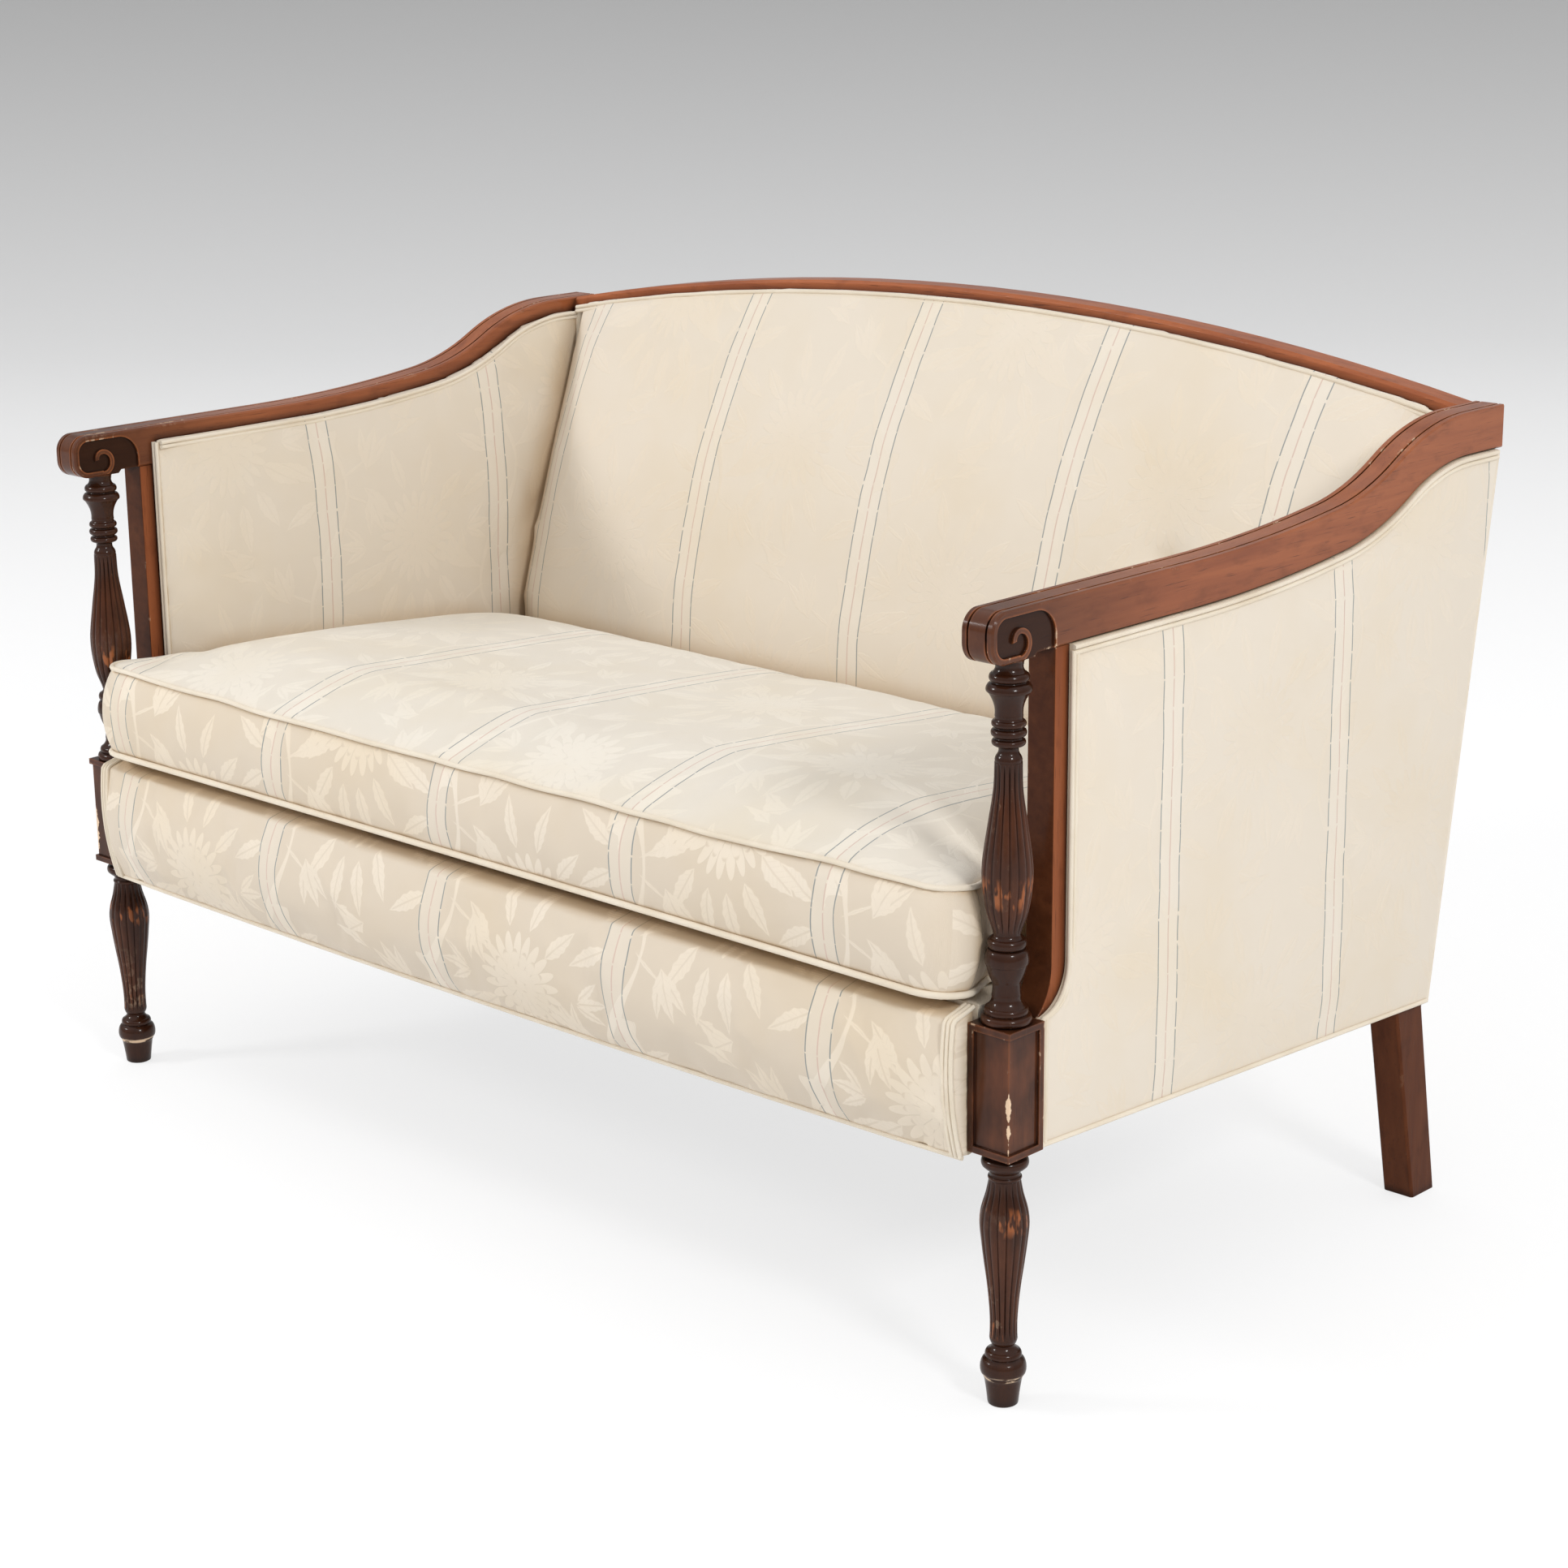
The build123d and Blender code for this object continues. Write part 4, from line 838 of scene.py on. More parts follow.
def buildPost(side, name, node):
    x = side * plan["postX"]
    p = postPiece
    bm = bmesh.new()
    foot = turnedRings(0, *p["foot"])
    collarHeight = sum(step[0] for step in p["collar"][1])
    collar = turnedRings(p["blockBottom"] - collarHeight, *p["collar"])
    reeds = reededRings(foot[-1][0], collar[0][0], p["legSwell"])
    lathe(bm, x, p["sole"] + foot[1:] + reeds[1:] + collar)
    base = turnedRings(p["blockTop"], *p["base"])
    capHeight = sum(step[0] for step in p["cap"][1])
    cap = turnedRings(p["capTop"] - capHeight, *p["cap"])
    reeds = reededRings(base[-1][0], cap[0][0], p["balusterSwell"])
    lathe(bm, x, base + reeds[1:] + cap)
    # the block, with a panel sunk in its front and outer faces
    half = p["blockSize"] / 2000
    low, high = p["blockBottom"] / 1000, p["blockTop"] / 1000
    cube = bmesh.ops.create_cube(bm, size=1.0)["verts"]
    for v in cube:
        v.co = at(x + 2 * half * v.co.x, 2 * half * v.co.y, low + (high - low) * (v.co.z + 0.5))
    block = set(cube)
    faces = [f for f in bm.faces if all(v in block for v in f.verts)]
    shown = [f for f in faces if f.normal.y < -0.9 or f.normal.x * side > 0.9]
    border = p["panelBorder"] / 1000
    bmesh.ops.inset_region(bm, faces=shown, thickness=border, depth=0, use_even_offset=True,
                           use_boundary=True)
    sunk = p["panelDepth"] / 1000
    made = bmesh.ops.extrude_face_region(bm, geom=shown)["geom"]
    inner = [g for g in made if isinstance(g, bmesh.types.BMVert)]
    bmesh.ops.delete(bm, geom=shown, context="FACES")
    corner = Vector((x + side * half, plan["postY"] - half, 0))
    for v in inner:
        if abs(v.co.x - corner.x) < 1e-5:
            v.co.x -= side * sunk
        if abs(v.co.y - corner.y) < 1e-5:
            v.co.y += sunk
    piece = finishPiece(name, bm, wood["mahoganyTurned"], smooth=38)
    softArris(piece, 0.0006)
    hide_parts(node)


for side, word in ((1, "Right"), (-1, "Left")):
    buildPost(side, "frontPost" + word, "front_post_" + word.lower())
print("front posts turned")


# rails that keep the frame's shape, with softened arrises

volute = {
    "eyeRun": -0.006,
    "eyeZ": 0.66325,
    "eyeReach": 0.0100,
    "face": 0.0165,
    "field": 0.0140,
    "hook": (198, 310),
    "fieldBand": (0.0132, 0.0148),
    "fieldEnd": 0.0385,
    "grooveBand": (0.0086, 0.0104),
}


def openHook(bm):  # the last part of the curl is sunk to the field, so that it ends in an open hook
    for v in bm.verts:
        run, rise = v.co.y - plan["postY"] - volute["eyeRun"], v.co.z - volute["eyeZ"]
        turn = math.degrees(math.atan2(rise, run)) % 360
        off = abs(v.co.x) - plan["postX"]
        if abs(off) > volute["face"] - 0.0005 and math.hypot(run, rise) < volute["eyeReach"]:
            if volute["hook"][0] < turn < volute["hook"][1]:
                v.co.x = math.copysign(plan["postX"] + math.copysign(volute["field"], off), v.co.x)


def scrollPaintedShade(face):  # sunk field of the volute, and the floors of the two grooves: their dark polish, deepened with painted shade
    centre = face.calc_center_median()
    off = abs(abs(centre.x) - plan["postX"])
    run = centre.y - plan["postY"]
    if abs(face.normal.x) > 0.9:
        low, high = volute["fieldBand"]
        return low < off < high and run < volute["fieldEnd"]
    low, high = volute["grooveBand"]
    return abs(face.normal.x) < 0.3 and low < off < high and face.normal.z > -0.5


def frontPaintedShade(face):  # the stump's front, darkened as painted shade where the baluster keeps the light off it, and with the dirt the duster misses
    return face.normal.y < -0.5


# finish, softened arris, change of shape, faces in a darker finish that paints shade on them
woodCopies = {
    "arm_rail": ("armRail", "mahoganyDepth", 0.0011, openHook, scrollPaintedShade, "mahoganySunk"),
    "crest_rail": ("crestRail", "mahoganyLength", 0.0014, None, None, None),
    "arm_stump": ("armStump", "mahoganyUpright", 0.0012, None, frontPaintedShade, "mahoganyShade"),
    "back_post": ("backPost", "mahoganyLeg", 0.0012, None, None, None),
}


def copyWood(node, name, finish, arris, reshape, shade, shadeFinish):
    bm = mergedCopy(node, reshape)
    bm.normal_update()
    shaded = [1 if shade and shade(face) else 0 for face in bm.faces]
    piece = finishPiece(name, bm, wood[finish], smooth=30)
    if any(shaded):
        piece.data.materials.append(wood[shadeFinish])
        piece.data.polygons.foreach_set("material_index", shaded)
    softArris(piece, arris)
    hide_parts(node)


for node, (name, *values) in woodCopies.items():
    if node in nodes:
        copyWood(node, name, *values)
    else:
        for word in ("Right", "Left"):
            copyWood(node + "_" + word.lower(), name + word, *values)

hiddenFinishes = {"frame_wood": frameWood, "webbing": juteWebbing}
slots = {part["node"]: part["material_slot"] for part in frame["record"]["subparts"]}
for node, piece in nodes.items():
    if slots[node] in hiddenFinishes:
        onlyMaterial(piece.data, hiddenFinishes[slots[node]])
print("rails and hidden frame finished")


# stuffed pads, each blown up from its solid and then eased

firmCloth = {"frames": 20, "stiff": 15.0}
backPad = {
    **firmCloth,
    "step": 0.012,
    "pressure": 3.0,
    "cap": 0.008,
    "slack": 0.003,
    "ease": 8,
    "endPress": 0.0042,  # the ends press against the inside arms
    "endReach": (0.50, 0.565),
    "brow": 0.011,
    "browRoll": 0.05,
    "browRise": (0.44, 0.62),
    "half": 0.566,
    "crestHalf": 0.59,
}
armPad = {**firmCloth, "step": 0.011, "pressure": 2.0, "cap": 0.005, "slack": 0.006, "ease": 3}
apronPad = {**firmCloth, "step": 0.009, "pressure": 2.0, "cap": 0.004, "slack": 0.008, "ease": 1}
stuffing = {
    "quality": 6,
    "mass": 0.3,
    "shear_stiffness": 5,
    "bending_stiffness": 0.5,
    "use_pressure": True,
    "pin_stiffness": 1.0,
    "vertex_group_mass": "pins",
}


def padSkin(node, name, pad, axes, facing, shape):
    bm = mergedCopy(node)
    gridCut(bm, axes, pad["step"])
    splitLargeFaces(bm)
    bmesh.ops.remove_doubles(bm, verts=bm.verts, dist=0.0012)
    bmesh.ops.recalc_face_normals(bm, faces=bm.faces)
    bm.normal_update()
    free = [v for v in bm.verts if all(f.normal.dot(facing(v.co)) > 0.55 for f in v.link_faces)]
    smoothed(bm, free, 8)
    for v in free:
        v.co += shape(v.co)
    if "endPress" in pad:
        for v in bm.verts:
            v.co.x += math.copysign(pad["endPress"] * smoothStep(*pad["endReach"], abs(v.co.x)), v.co.x)
    bm.verts.index_update()
    loose = {v.index for v in free}
    pins = {i: 1.0 for i in range(len(bm.verts)) if i not in loose}
    return linked(name, meshFrom(name, bm)), pins


def inflate(piece, pad, pins):
    start = [v.co.copy() for v in piece.data.vertices]
    group = piece.vertex_groups.new(name="pins")
    for index, weight in pins.items():
        group.add([index], weight, "REPLACE")
    cloth = piece.modifiers.new("stuffing", "CLOTH")
    for key, value in stuffing.items():
        setattr(cloth.settings, key, value)
    cloth.settings.tension_stiffness = pad["stiff"]
    cloth.settings.compression_stiffness = pad["stiff"]
    cloth.settings.uniform_pressure_force = pad["pressure"]
    cloth.settings.shrink_min = -pad["slack"]
    cloth.settings.effector_weights.gravity = 0
    cloth.collision_settings.use_collision = False
    for step in range(1, pad["frames"] + 1):
        bpy.context.scene.frame_set(step)
    applied(piece)
    bpy.context.scene.frame_set(1)
    piece.vertex_groups.clear()
    for v, old in zip(piece.data.vertices, start):
        move = v.co - old
        if move.length > pad["cap"]:
            v.co = old + move.normalized() * pad["cap"]


def easeFolds(piece, pins, rounds):  # the stuffing presses small sharp folds out of the cloth
    bm = bmesh.new()
    bm.from_mesh(piece.data)
    smoothed(bm, [v for v in bm.verts if v.index not in pins], rounds)
    bm.to_mesh(piece.data)
    bm.free()


def dressPad(piece, node, body="frame"):
    smoothShaded(piece.data)
    sub = piece.modifiers.new("surface", "SUBSURF")
    sub.levels = sub.render_levels = 1
    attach(piece, body)
    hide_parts(node)


def towardsFront(co):
    return Vector((0, -1, 0))


def towardsMiddle(co):
    return Vector((-1 if co.x > 0 else 1, 0, 0))


def fullBrow(co):  # the back is fullest just under the crest and rolls in to the welt
    p = backPad
    below = crestTop(min(abs(co.x), p["crestHalf"])) - plan["crestBand"] - co.z
    edge = smoothStep(0, p["browRoll"], p["half"] - abs(co.x))
    roll = smoothStep(0, p["browRoll"], below)
    high = smoothStep(*p["browRise"], co.z)
    return Vector((0, -p["brow"] * roll * high * edge, 0))


def asCut(co):
    return Vector((0, 0, 0))


for node, name, pad, axes, facing, shape, material, choose in (
    ("inside_back", "insideBack", backPad, (0, 2), towardsFront, fullBrow, damaskFaint, acrossFront),
    ("inside_arm_right", "insideArmRight", armPad, (1, 2), towardsMiddle, asCut, damaskArm, acrossInside),
    ("inside_arm_left", "insideArmLeft", armPad, (1, 2), towardsMiddle, asCut, damaskArm, acrossInside),
    ("front_apron", "frontApron", apronPad, (0, 2), towardsFront, asCut, damaskStrong, acrossFront),
):
    piece, pins = padSkin(node, name, pad, axes, facing, shape)
    inflate(piece, pad, pins)
    easeFolds(piece, pins, pad["ease"])
    layPattern(piece.data, choose)
    onlyMaterial(piece.data, material)
    dressPad(piece, node)
    print("pad stuffed:", name, len(piece.data.vertices))


# tight panels on the outside, the deck and the dust cover

sidePanel = {
    "outer": 0.628,
    "step": 0.025,
    "puff": 0.0035,
    "reach": 0.045,
    "ripple": 0.0009,
    "ripples": 7,
    "rippleReach": 0.06,
    "stumpFoot": 0.39,
    "stumpRun": 0.058,
    "postRun": 0.0225,
}
backPanel = {
    "half": 0.628,
    "bottom": 0.201,
    "crestHalf": 0.59,
    "underCrest": 0.05,
    "step": 0.03,
    "puff": 0.004,
    "reach": 0.07,
    "ripple": 0.001,
    "ripples": 6,
    "rippleReach": 0.1,
}
deckPanel = {
    "half": 0.587,
    "front": 0.01,
    "back": 0.6,
    "step": 0.03,
    "puff": -0.003,
    "reach": 0.2,
    "ripple": 0.0,
    "ripples": 1,
    "rippleReach": 0.2,
}
dustPanel = {
    "half": 0.58,
    "front": 0.01,
    "back": 0.59,
    "step": 0.03,
    "puff": -0.004,
    "reach": 0.12,
    "ripple": 0.0012,
    "ripples": 9,
    "rippleReach": 0.12,
    "flat": (1.22, 0.571),
    "area": 0.6936,
    "rails": ["front_seat_rail", "back_seat_rail", "side_seat_rail_right", "side_seat_rail_left"],
}


def puffed(panel, co, edge):  # the swell away from the edges, with a faint ripple
    ripple = panel["ripple"] * noise.noise(co * panel["ripples"]) * smoothStep(0, panel["rippleReach"], edge)
    return panel["puff"] * smoothStep(0, panel["reach"], edge) + ripple


def sidePuff(co):
    p = sidePanel
    if abs(co.x) < p["outer"] - 0.0005:
        return Vector((0, 0, 0))
    run = co.y - plan["postY"]
    front = p["stumpRun"] if co.z > p["stumpFoot"] else p["postRun"]
    edge = min(armUnderside(run) - co.z, co.z - frameBottom(run), backRun(co.z) - run, run - front)
    return Vector((math.copysign(puffed(p, co, edge), co.x), 0, 0))


def backPuff(co):
    p = backPanel
    if co.y - plan["postY"] < backRun(co.z) + 0.002:
        return Vector((0, 0, 0))
    top = crestTop(co.x) - p["underCrest"] if abs(co.x) < p["crestHalf"] else plan["armEndUnderside"]
    edge = min(p["half"] - abs(co.x), top - co.z, co.z - p["bottom"])
    return Vector((0, puffed(p, co, edge), 0))


def floorEdge(panel, co):
    run = co.y - plan["postY"]
    return min(panel["half"] - abs(co.x), run + panel["front"], panel["back"] - run)


def deckPuff(co):
    if co.z < deckTop(co.y - plan["postY"]) - 0.004:
        return Vector((0, 0, 0))
    return Vector((0, 0, puffed(deckPanel, co, floorEdge(deckPanel, co))))


def coverSag(co):
    return Vector((0, 0, puffed(dustPanel, co, floorEdge(dustPanel, co))))


def onDeck(co, normal):
    return co.x, co.y


def tightPanel(node, name, panel, axes, puff, material, choose):
    bm = mergedCopy(node)
    gridCut(bm, axes, panel["step"])
    for v in bm.verts:
        v.co += puff(v.co)
    splitLargeFaces(bm)
    piece = finishPiece(name, bm, material, smooth=40)
    layPattern(piece.data, choose)
    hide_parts(node)
    return piece


for node, name, panel, axes, puff, material, choose in (
    ("outside_arm_right", "outsideArmRight", sidePanel, (1, 2), sidePuff, damaskFaint, acrossOutside),
    ("outside_arm_left", "outsideArmLeft", sidePanel, (1, 2), sidePuff, damaskFaint, acrossOutside),
    ("outside_back", "outsideBack", backPanel, (0, 2), backPuff, damaskFaint, acrossFront),
    ("seat_deck", "seatDeck", deckPanel, (0, 1), deckPuff, weltCloth, onDeck),
):
    tightPanel(node, name, panel, axes, puff, material, choose)
cover = tightPanel("dust_cover", "dustCover", dustPanel, (0, 1), coverSag, blackCambric, onDeck)
print("panels stretched")


# loose seat cushion, built level in its own pitched plane

seatCushion = {
    "half": 0.5626,
    "front": -0.046,
    "back": 0.5014,
    "lift": 0.0203,
    "seamLow": 0.009,
    "seamHigh": 0.099,
    "corner": 0.034,
    "ear": 0.018,
    "crown": 0.014,
    "dimple": 0.004,
    "bulge": 0.010,
    "sag": 0.005,
    "drawIn": 0.004,
    "step": 0.015,
    "pressure": 5.0,
    "cap": 0.022,
    "slack": 0.012,
    "frames": 24,
    "stiff": 12.0,
    "dimples": 4.5,
    "wander": ((0.0026, 15, 3.1), (0.0020, 5, 6.4)),  # no seam runs quite true: reach, waves, seed
    "earRun": (0.035, -0.020),
    "weltTop": 0.0025,
    "weltBottom": 0.0030,
    "weltDepth": 0.274,
    "weltOut": 0.45,
    "weltCorner": 7,
}
cushionSpace = Matrix.Translation(at(0, 0, plan["railTop"])) @ Matrix.Rotation(-plan["seatPitch"], 4, "X")


def buildCushion():
    c = seatCushion
    depth, mid = c["back"] - c["front"], (c["back"] + c["front"]) / 2
    bm = bmesh.new()
    bmesh.ops.create_cube(bm, size=1.0)
    for v in bm.verts:
        v.co = Vector((2 * c["half"] * v.co.x, mid + depth * v.co.y,
                       c["lift"] + (c["seamHigh"] if v.co.z > 0 else c["seamLow"])))
    upright = [e for e in bm.edges if abs(e.verts[0].co.z - e.verts[1].co.z) > 0.01]
    bmesh.ops.bevel(bm, geom=upright, offset=c["corner"], offset_type="OFFSET", segments=7, profile=0.5,
                    affect="EDGES", material=-1)
    gridCut(bm, (0, 1, 2), c["step"])
    splitLargeFaces(bm)
    top, bottom = c["lift"] + c["seamHigh"], c["lift"] + c["seamLow"]
    seams = {}
    for v in bm.verts:
        flat = [f for f in v.link_faces if abs(f.normal.z) > 0.9]
        wall = [f for f in v.link_faces if abs(f.normal.z) < 0.5]
        if flat and wall:
            seams[v] = "top" if v.co.z > (top + bottom) / 2 else "bottom"
    bm.normal_update()
    outward = {v: v.normal.copy() for v in bm.verts}
    for v in bm.verts:
        across = max(1 - (v.co.x / c["half"]) ** 2, 0)
        along = max(1 - ((v.co.y - mid) / (depth / 2)) ** 2, 0)
        level = (v.co.z - bottom) / (top - bottom)
        nearFront = smoothStep(mid, c["front"], v.co.y)
        rise = 0.0
        if level > 0.99 and v not in seams:
            rise = c["crown"] * min(across * 3, 1) ** 0.5 * min(along * 2.2, 1) ** 0.5
            dent = noise.noise(Vector((v.co.x * c["dimples"], v.co.y * c["dimples"], 1.7)))
            rise += c["dimple"] * dent * min(across, along, 0.5) * 2
        if level < 0.01 and v not in seams:
            rise = -(c["seamLow"] - 0.0008) * smoothStep(0, 0.06, min(across, along))
        rise -= c["sag"] * level * across * nearFront
        if v in seams:
            for reach, waves, seed in c["wander"]:
                rise += reach * level * noise.noise(Vector((v.co.x * waves, v.co.y * waves, seed)))
        inward = c["drawIn"] * across if abs(v.co.y - mid) > depth / 2 - 0.002 else 0
        v.co.x *= 1 + c["ear"] / c["half"] * smoothStep(*c["earRun"], v.co.y)  # fuller in front of the arms
        v.co.y += inward * (1 if v.co.y < mid else -1)
        inward = c["drawIn"] * along if c["half"] - 0.002 < abs(v.co.x) < c["half"] + 0.002 else 0
        v.co.x -= math.copysign(inward, v.co.x)
        if abs(outward[v].z) < 0.3 and v not in seams:  # the boxing stands out between its seams
            v.co += outward[v] * c["bulge"] * (1 - (2 * level - 1) ** 2)
        v.co.z += rise
    bm.verts.index_update()
    loops = {}
    for word in ("top", "bottom"):  # walk each seam in order, for its welt
        left = {v for v, where in seams.items() if where == word}
        here = min(left, key=lambda v: (round(v.co.y, 4), v.co.x))
        order = []
        while here:
            order.append(here.co.copy())
            left.discard(here)
            here = next((e.other_vert(here) for e in here.link_edges if e.other_vert(here) in left), None)
        loops[word] = order
    pins = {v.index: (1.0 if where == "bottom" else 0.85) for v, where in seams.items()}
    pins.update({v.index: 1.0 for v in bm.verts if v not in seams and v.co.z < bottom})
    piece = linked("seatCushion", meshFrom("seatCushion", bm))
    inflate(piece, c, pins)

    def onCushion(co, normal):
        if abs(normal.z) > 0.6:
            return co.x, co.y
        return (co.x, co.z) if abs(normal.y) > abs(normal.x) else (co.y + patternStart["cushionSide"], co.z)

    mesh = piece.data
    layPattern(mesh, onCushion)
    mesh.transform(cushionSpace)
    mesh.materials.append(damaskStrong)
    mesh.materials.append(damaskSeat)
    # the cushion's top takes the seat copy, paler with painted light; its sides take the front copy, with
    # painted sheen shade
    mesh.polygons.foreach_set("material_index", [1 if abs(f.normal.z) > 0.6 else 0 for f in mesh.polygons])
    dressPad(piece, "seat_cushion", "cushion")
    return loops


cushionSeams = buildCushion()
print("cushion stuffed")


# welts

welts = {
    "radius": 0.0022,
    "spacing": 0.0046,  # between the two cords of a double welt
    "count": 60,
    "underWood": 0.0028,
    "outerX": 0.6287,
    "outerRun": (0.058, 0.680),
    "innerX": 0.5838,
    "innerRun": (0.060, 0.652),
    "sideRun": (0.024, 0.600),
    "sideRise": 0.002,
    "crestHalf": 0.581,
    "crestDepth": 0.0345,
    "tuckX": 0.5835,
    "tuckDepth": 0.024,
    "tuckRadius": 0.0075,
    "tuckHeight": (0.420, 0.749),
}
stumpWelt = {
    "outerX": 0.6284,
    "outerRun": 0.0583,
    "straight": (0.643, 0.382),
    "bendRun": 0.02265,
    "bend": (0.0356, 0.042),  # half width and half height of the curve at the foot
    "bendTurn": (0.1, 1.5),
    "footRun": 0.0240,
    "foot": (0.338, 0.2305),
    "innerX": 0.5880,
    "innerRun": 0.0572,
    "inner": (0.672, 0.352),
}
apron = {
    "half": 0.5875,
    "bow": 0.009,
    "bottom": 0.221,
    "height": 0.122,
    "bottomRun": 0.026,
    "topRun": 0.036,
    "swell": 0.031,
    "middleSwell": 0.020,
    "endLoss": 0.65,
    "endFrom": 0.84,
}
apronWelt = {
    "half": 0.586,
    "height": 0.2215,
    "along": 0.2225,
    "inset": 0.0004,
    "endX": 0.5852,
    "endSpacing": 0.0043,
    "endRadius": 0.0021,
    "endLift": 0.0012,
    "end": (0.2225, 0.341),
    "lapFrom": 0.343,
    "lapRun": 0.024,
    "lapHeight": 0.3435,
    "lapRise": 0.0065,
}


def spread(low, high, count):
    return [low + (high - low) * i / (count - 1) for i in range(count)]


def apronRun(x, z):  # front of the swollen border
    a = apron
    bow = a["bow"] * (1 - (x / a["half"]) ** 2)
    t = (z - a["bottom"]) / a["height"]
    ends = smoothStep(a["endFrom"], 1.0, abs(x) / a["half"])
    swell = a["swell"] + a["middleSwell"] * (1 - a["endLoss"] * ends)
    low = -a["bottomRun"] * (1 - t) * (1 - 2 * t)
    return low - swell * 4 * t * (1 - t) - a["topRun"] * t * (2 * t - 1) - bow


def weltAlong(name, points, radius=welts["radius"], body="frame", cyclic=False):
    curve = bpy.data.curves.new(name, "CURVE")
    curve.dimensions = "3D"
    curve.bevel_depth = radius
    curve.bevel_resolution = 3
    curve.use_fill_caps = True
    spline = curve.splines.new("POLY")
    spline.points.add(len(points) - 1)
    for point, co in zip(spline.points, points):
        point.co = (*co, 1.0)
    spline.use_cyclic_u = cyclic
    path = linked(name + "Path", curve)
    graph = bpy.context.evaluated_depsgraph_get()
    mesh = bpy.data.meshes.new_from_object(path.evaluated_get(graph))
    bpy.data.objects.remove(path)
    bpy.data.curves.remove(curve)
    mesh.name = name
    piece = finishMesh(name, mesh, weltCloth, 60, body)
    return piece


def sewCushion():
    c = seatCushion
    middle = (c["front"] + c["back"]) / 2
    for word, seam in cushionSeams.items():
        radius = c["welt" + word.title()]
        outward = []
        for co in seam:
            x, y = co.x / c["half"], (co.y - middle) / c["weltDepth"]
            away = Vector((x ** c["weltCorner"], y ** c["weltCorner"], 0)).normalized()
            outward.append(cushionSpace @ (co + away * radius * c["weltOut"]))
        piece = weltAlong("cushionWelt" + word.title(), outward, radius, "cushion", True)
        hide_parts("cushion_welts")


def sewSide(side, word):
    w, s, e = welts, stumpWelt, apronWelt
    for row in (0, 1):
        drop = w["underWood"] + row * w["spacing"]
        runs = spread(*w["outerRun"], w["count"])
        points = [at(side * w["outerX"], r, armUnderside(r) - drop) for r in runs]
        weltAlong("armWeltOuter%s%d" % (word, row), points)
        lap = plan["armPadLap"] - drop
        runs = spread(*w["innerRun"], w["count"])
        points = [at(side * w["innerX"], r, armUnderside(r) + lap) for r in runs]
        weltAlong("armWeltInner%s%d" % (word, row), points)
    points = [at(side * w["outerX"], r, frameBottom(r) + w["sideRise"]) for r in spread(*w["sideRun"], 20)]
    weltAlong("sideWelt" + word, points)
    # the stump's edge: straight, round the curve at its foot, straight again
    wide, tall = s["bend"]
    bottom = s["straight"][1]
    edge = [(s["outerRun"], z) for z in spread(*s["straight"], 30)]
    for a in spread(*s["bendTurn"], 10):
        edge.append((s["bendRun"] + wide * math.cos(a), bottom - tall * math.sin(a)))
    edge += [(s["footRun"], z) for z in spread(*s["foot"], 12)]
    for row in (0, 1):
        points = [at(side * s["outerX"], r + row * w["spacing"], z) for r, z in edge]
        weltAlong("stumpWeltOuter%s%d" % (word, row), points)
    for row in (0, 1):
        x = side * (s["innerX"] + row * w["spacing"])
        points = [at(x, s["innerRun"], z) for z in spread(*s["inner"], 30)]
        weltAlong("stumpWeltInner%s%d" % (word, row), points)
    tuck = [at(side * w["tuckX"], backRun(z) - w["tuckDepth"], z) for z in spread(*w["tuckHeight"], 24)]
    weltAlong("creaseTuck" + word, tuck, w["tuckRadius"])
    for row in range(3):
        x = side * (e["endX"] - row * e["endSpacing"])
        points = [at(x, apronRun(x, z) - e["endLift"], z) for z in spread(*e["end"], 16)]
        for t in spread(0.05, 1.0, 6):
            run = apronRun(x, e["lapFrom"]) + e["lapRun"] * t
            points.append(at(x, run, e["lapHeight"] + e["lapRise"] * t))
        weltAlong("apronEndWelt%s%d" % (word, row), points, e["endRadius"])


def sewAcross():
    w, e = welts, apronWelt
    for row in (0, 1):
        drop = plan["crestBand"] + w["underWood"] + row * w["spacing"]
        points = []
        for x in spread(-w["crestHalf"], w["crestHalf"], 80):
            z = crestTop(x) - drop
            points.append(at(x, backRun(z) - w["crestDepth"], z))
        weltAlong("crestWelt%d" % row, points)
    xs = spread(-e["half"], e["half"], 60)
    weltAlong("apronWelt", [at(x, apronRun(x, e["along"]) + e["inset"], e["height"]) for x in xs])


sewCushion()
sewSide(1, "Right")
sewSide(-1, "Left")
sewAcross()
print("welts sewn")


# floor, backdrop, light and camera

studio = {
    "viewFrom": Vector((2.23608, -2.28521, 1.26764)),
    "azimuth": 43.6336,
    "elevation": 15.8949,
    "roll": -0.5952,
    "lens": 76.13,
    "overhead": (0.92, 0.93, 0.95, 1),
    "horizon": (0.44, 0.43, 0.42, 1),
    "skyRise": 0.75,
    "lookAt": (0, 0, 0.4),
    # place, width and height, watts
    "lamps": {
        "keyLamp": ((3.9, -1.3, 2.9), (0.75, 0.75), 76),
        "fillLamp": ((-2.2, -2.6, 2.2), (0.75, 0.65), 45),
    },
}
sweep = {
    "near": -9.0,
    "far": 5.2,
    "bend": 1.2,
    "top": 6.0,
    "half": 12,
    "white": (1.0, 1.0, 1.0, 1),
    "grey": (0.44, 0.44, 0.44, 1),
    "bounce": (0.9, 0.9, 0.9, 1),  # what lights the settee from below
    "fade": (1.5, 8.06),
    "fadeCurve": 1.3,
    "glow": 0.72,
}


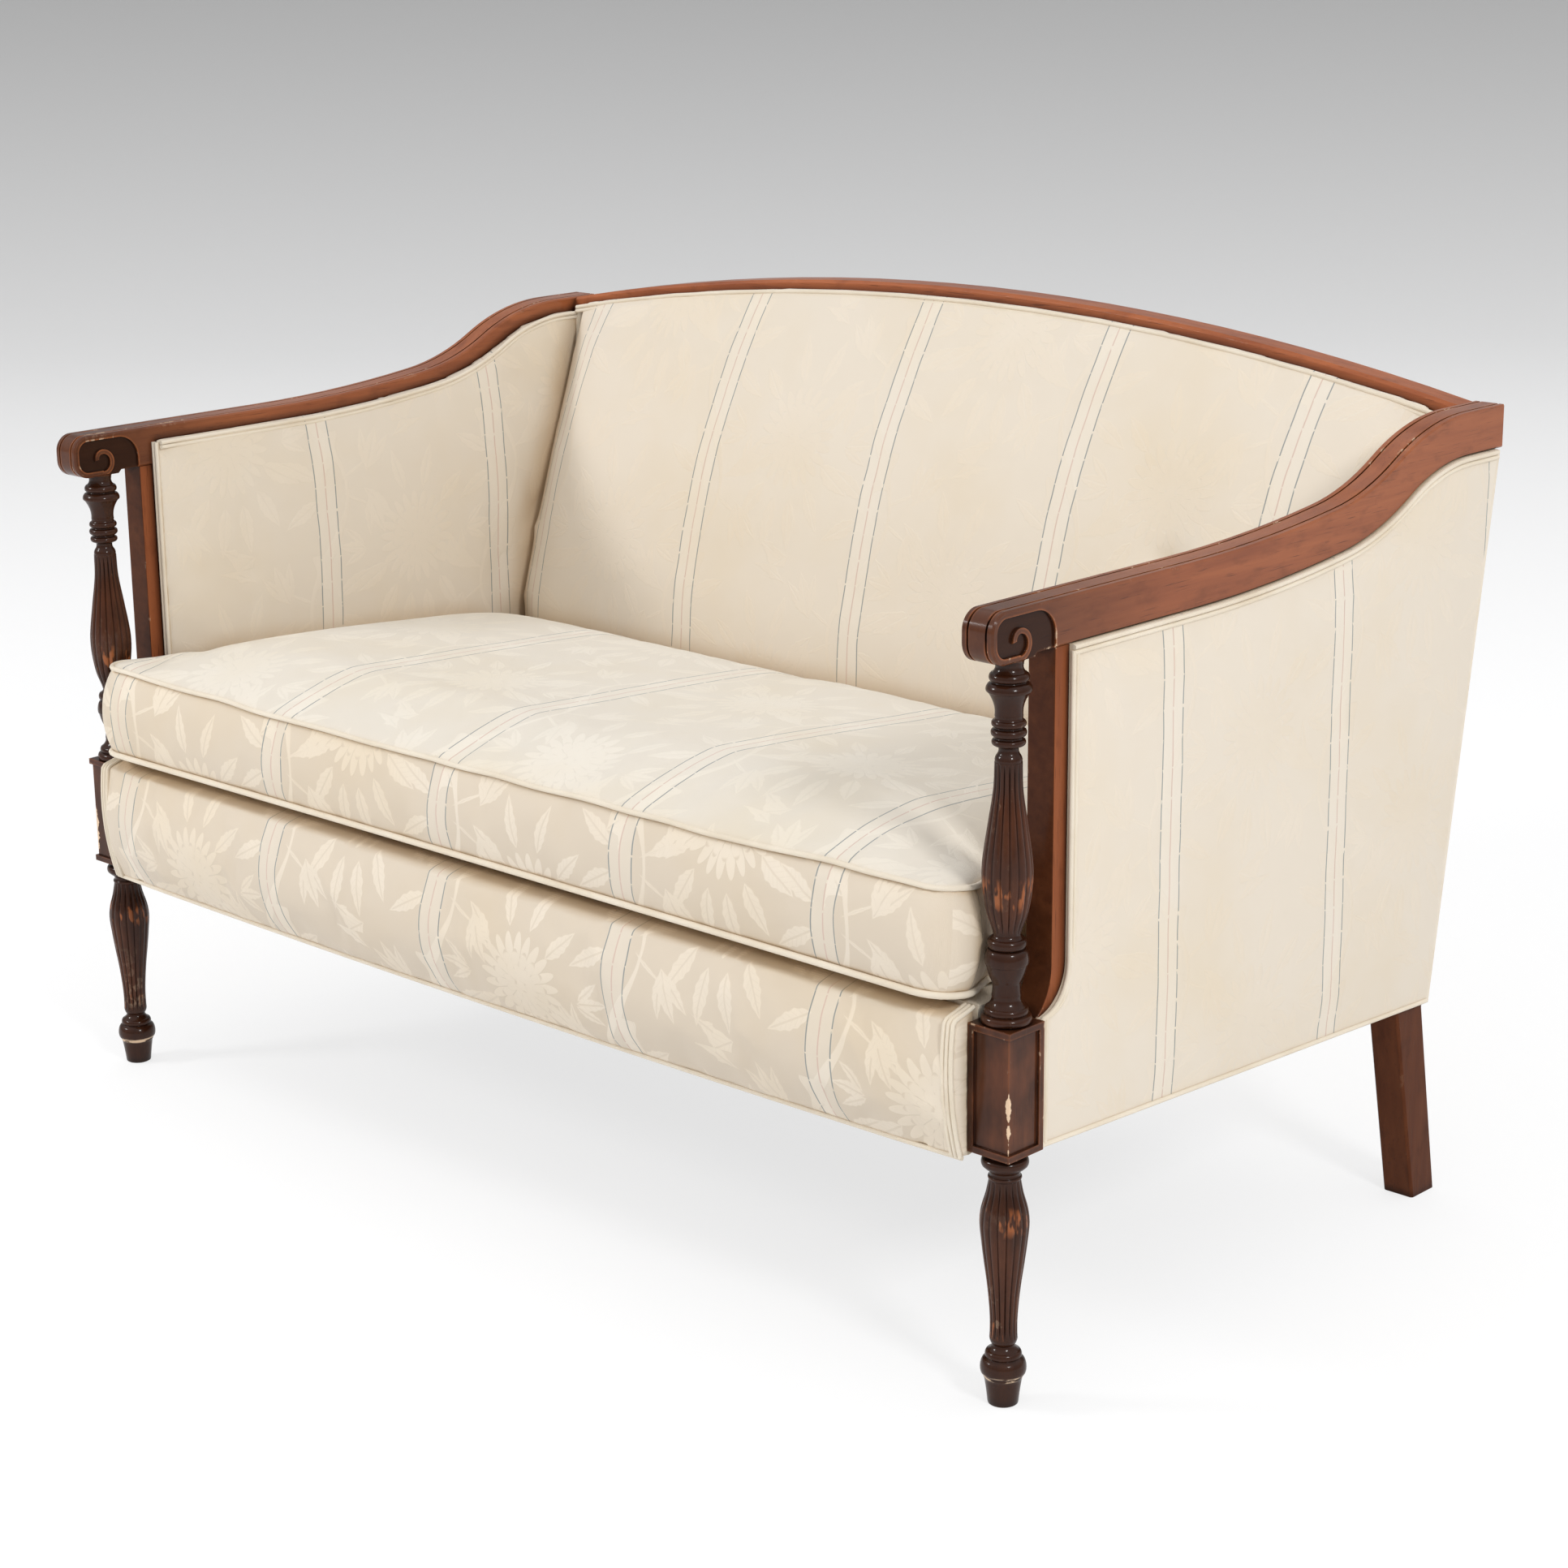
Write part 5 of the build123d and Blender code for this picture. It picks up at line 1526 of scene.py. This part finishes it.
def buildBackdrop():
    angle = math.radians(studio["azimuth"])
    ahead = Vector((-math.sin(angle), math.cos(angle), 0))
    right = Vector((math.cos(angle), math.sin(angle), 0))
    profile = [(sweep["near"], 0.0)]
    far, bend = sweep["far"], sweep["bend"]
    for i in range(13):
        turn = math.pi / 2 * i / 12
        profile.append((far + bend * math.sin(turn), bend - bend * math.cos(turn)))
    profile.append((far + bend, sweep["top"]))
    bm = bmesh.new()
    edges = []
    for side in (-1, 1):
        shift = right * side * sweep["half"]
        line = [bm.verts.new(ahead * d + shift + Vector((0, 0, z))) for d, z in profile]
        edges += [bm.edges.new(pair) for pair in zip(line, line[1:])]
    bmesh.ops.bridge_loops(bm, edges=edges)
    bmesh.ops.recalc_face_normals(bm, faces=bm.faces)
    mesh = meshFrom("studioSweep", bm)
    smoothShaded(mesh)
    material, tree, shader = startMaterial("paleSweep")
    coords = put(tree, "TexCoord").outputs["Object"]
    forward = vectorCalc("DOT_PRODUCT", coords, {1: ahead})["Value"]
    height = split(coords)["Z"]
    fade = calc("POWER", ramp(timesPlus(height, 2.0, forward), *sweep["fade"]), sweep["fadeCurve"])
    seen = tint(fade, sweep["white"], sweep["grey"])
    shaded = vectorCalc("SCALE", seen, {"Scale": 1 - sweep["glow"]})["Vector"]
    rays = put(tree, "LightPath").outputs
    direct = larger(rays["Is Camera Ray"], larger(rays["Is Glossy Ray"], rays["Is Transmission Ray"]))
    feed(shader.inputs["Base Color"], tint(direct, sweep["bounce"], shaded))
    feed(shader.inputs["Emission Color"], seen)
    feed(shader.inputs["Emission Strength"], times(direct, sweep["glow"]))
    feed(shader.inputs["Roughness"], 0.9)
    feed(shader.inputs["Specular IOR Level"], 0.1)
    mesh.materials.append(material)
    linked("studioSweep", mesh)


def areaLamp(name, stand, size, power):
    lamp = bpy.data.lights.new(name, "AREA")
    lamp.shape = "RECTANGLE"
    lamp.size, lamp.size_y = size
    lamp.energy = power
    made = linked(name, lamp)
    made.location = stand
    made.rotation_euler = (Vector(studio["lookAt"]) - Vector(stand)).to_track_quat("-Z", "Y").to_euler()


def buildLight():
    world = bpy.data.worlds.new("studioWorld")
    bpy.context.scene.world = world
    world.use_nodes = True
    tree = world.node_tree
    height = split(put(tree, "TexCoord").outputs["Generated"])["Z"]
    sky = tint(ramp(height, 0.0, studio["skyRise"]), studio["horizon"], studio["overhead"])
    feed(tree.nodes["Background"].inputs["Color"], sky)
    for name, values in studio["lamps"].items():
        areaLamp(name, *values)


def buildCamera():
    azimuth, elevation, roll = (math.radians(studio[k]) for k in ("azimuth", "elevation", "roll"))
    level = math.cos(elevation)
    ahead = Vector((-math.sin(azimuth) * level, math.cos(azimuth) * level, -math.sin(elevation)))
    across = ahead.cross(Vector((0, 0, 1))).normalized()
    above = across.cross(ahead)
    right = math.cos(roll) * across + math.sin(roll) * above
    up = -math.sin(roll) * across + math.cos(roll) * above
    lens = bpy.data.cameras.new("photoCamera")
    lens.lens = studio["lens"]
    lens.sensor_width = 36.0
    lens.sensor_fit = "HORIZONTAL"
    camera = linked("photoCamera", lens)
    turned = Matrix((right, up, -ahead)).transposed().to_4x4()
    camera.matrix_world = Matrix.Translation(studio["viewFrom"]) @ turned
    bpy.context.scene.camera = camera
    bpy.context.scene.view_settings.view_transform = "Standard"


buildBackdrop()
buildLight()
buildCamera()
print("studio ready")
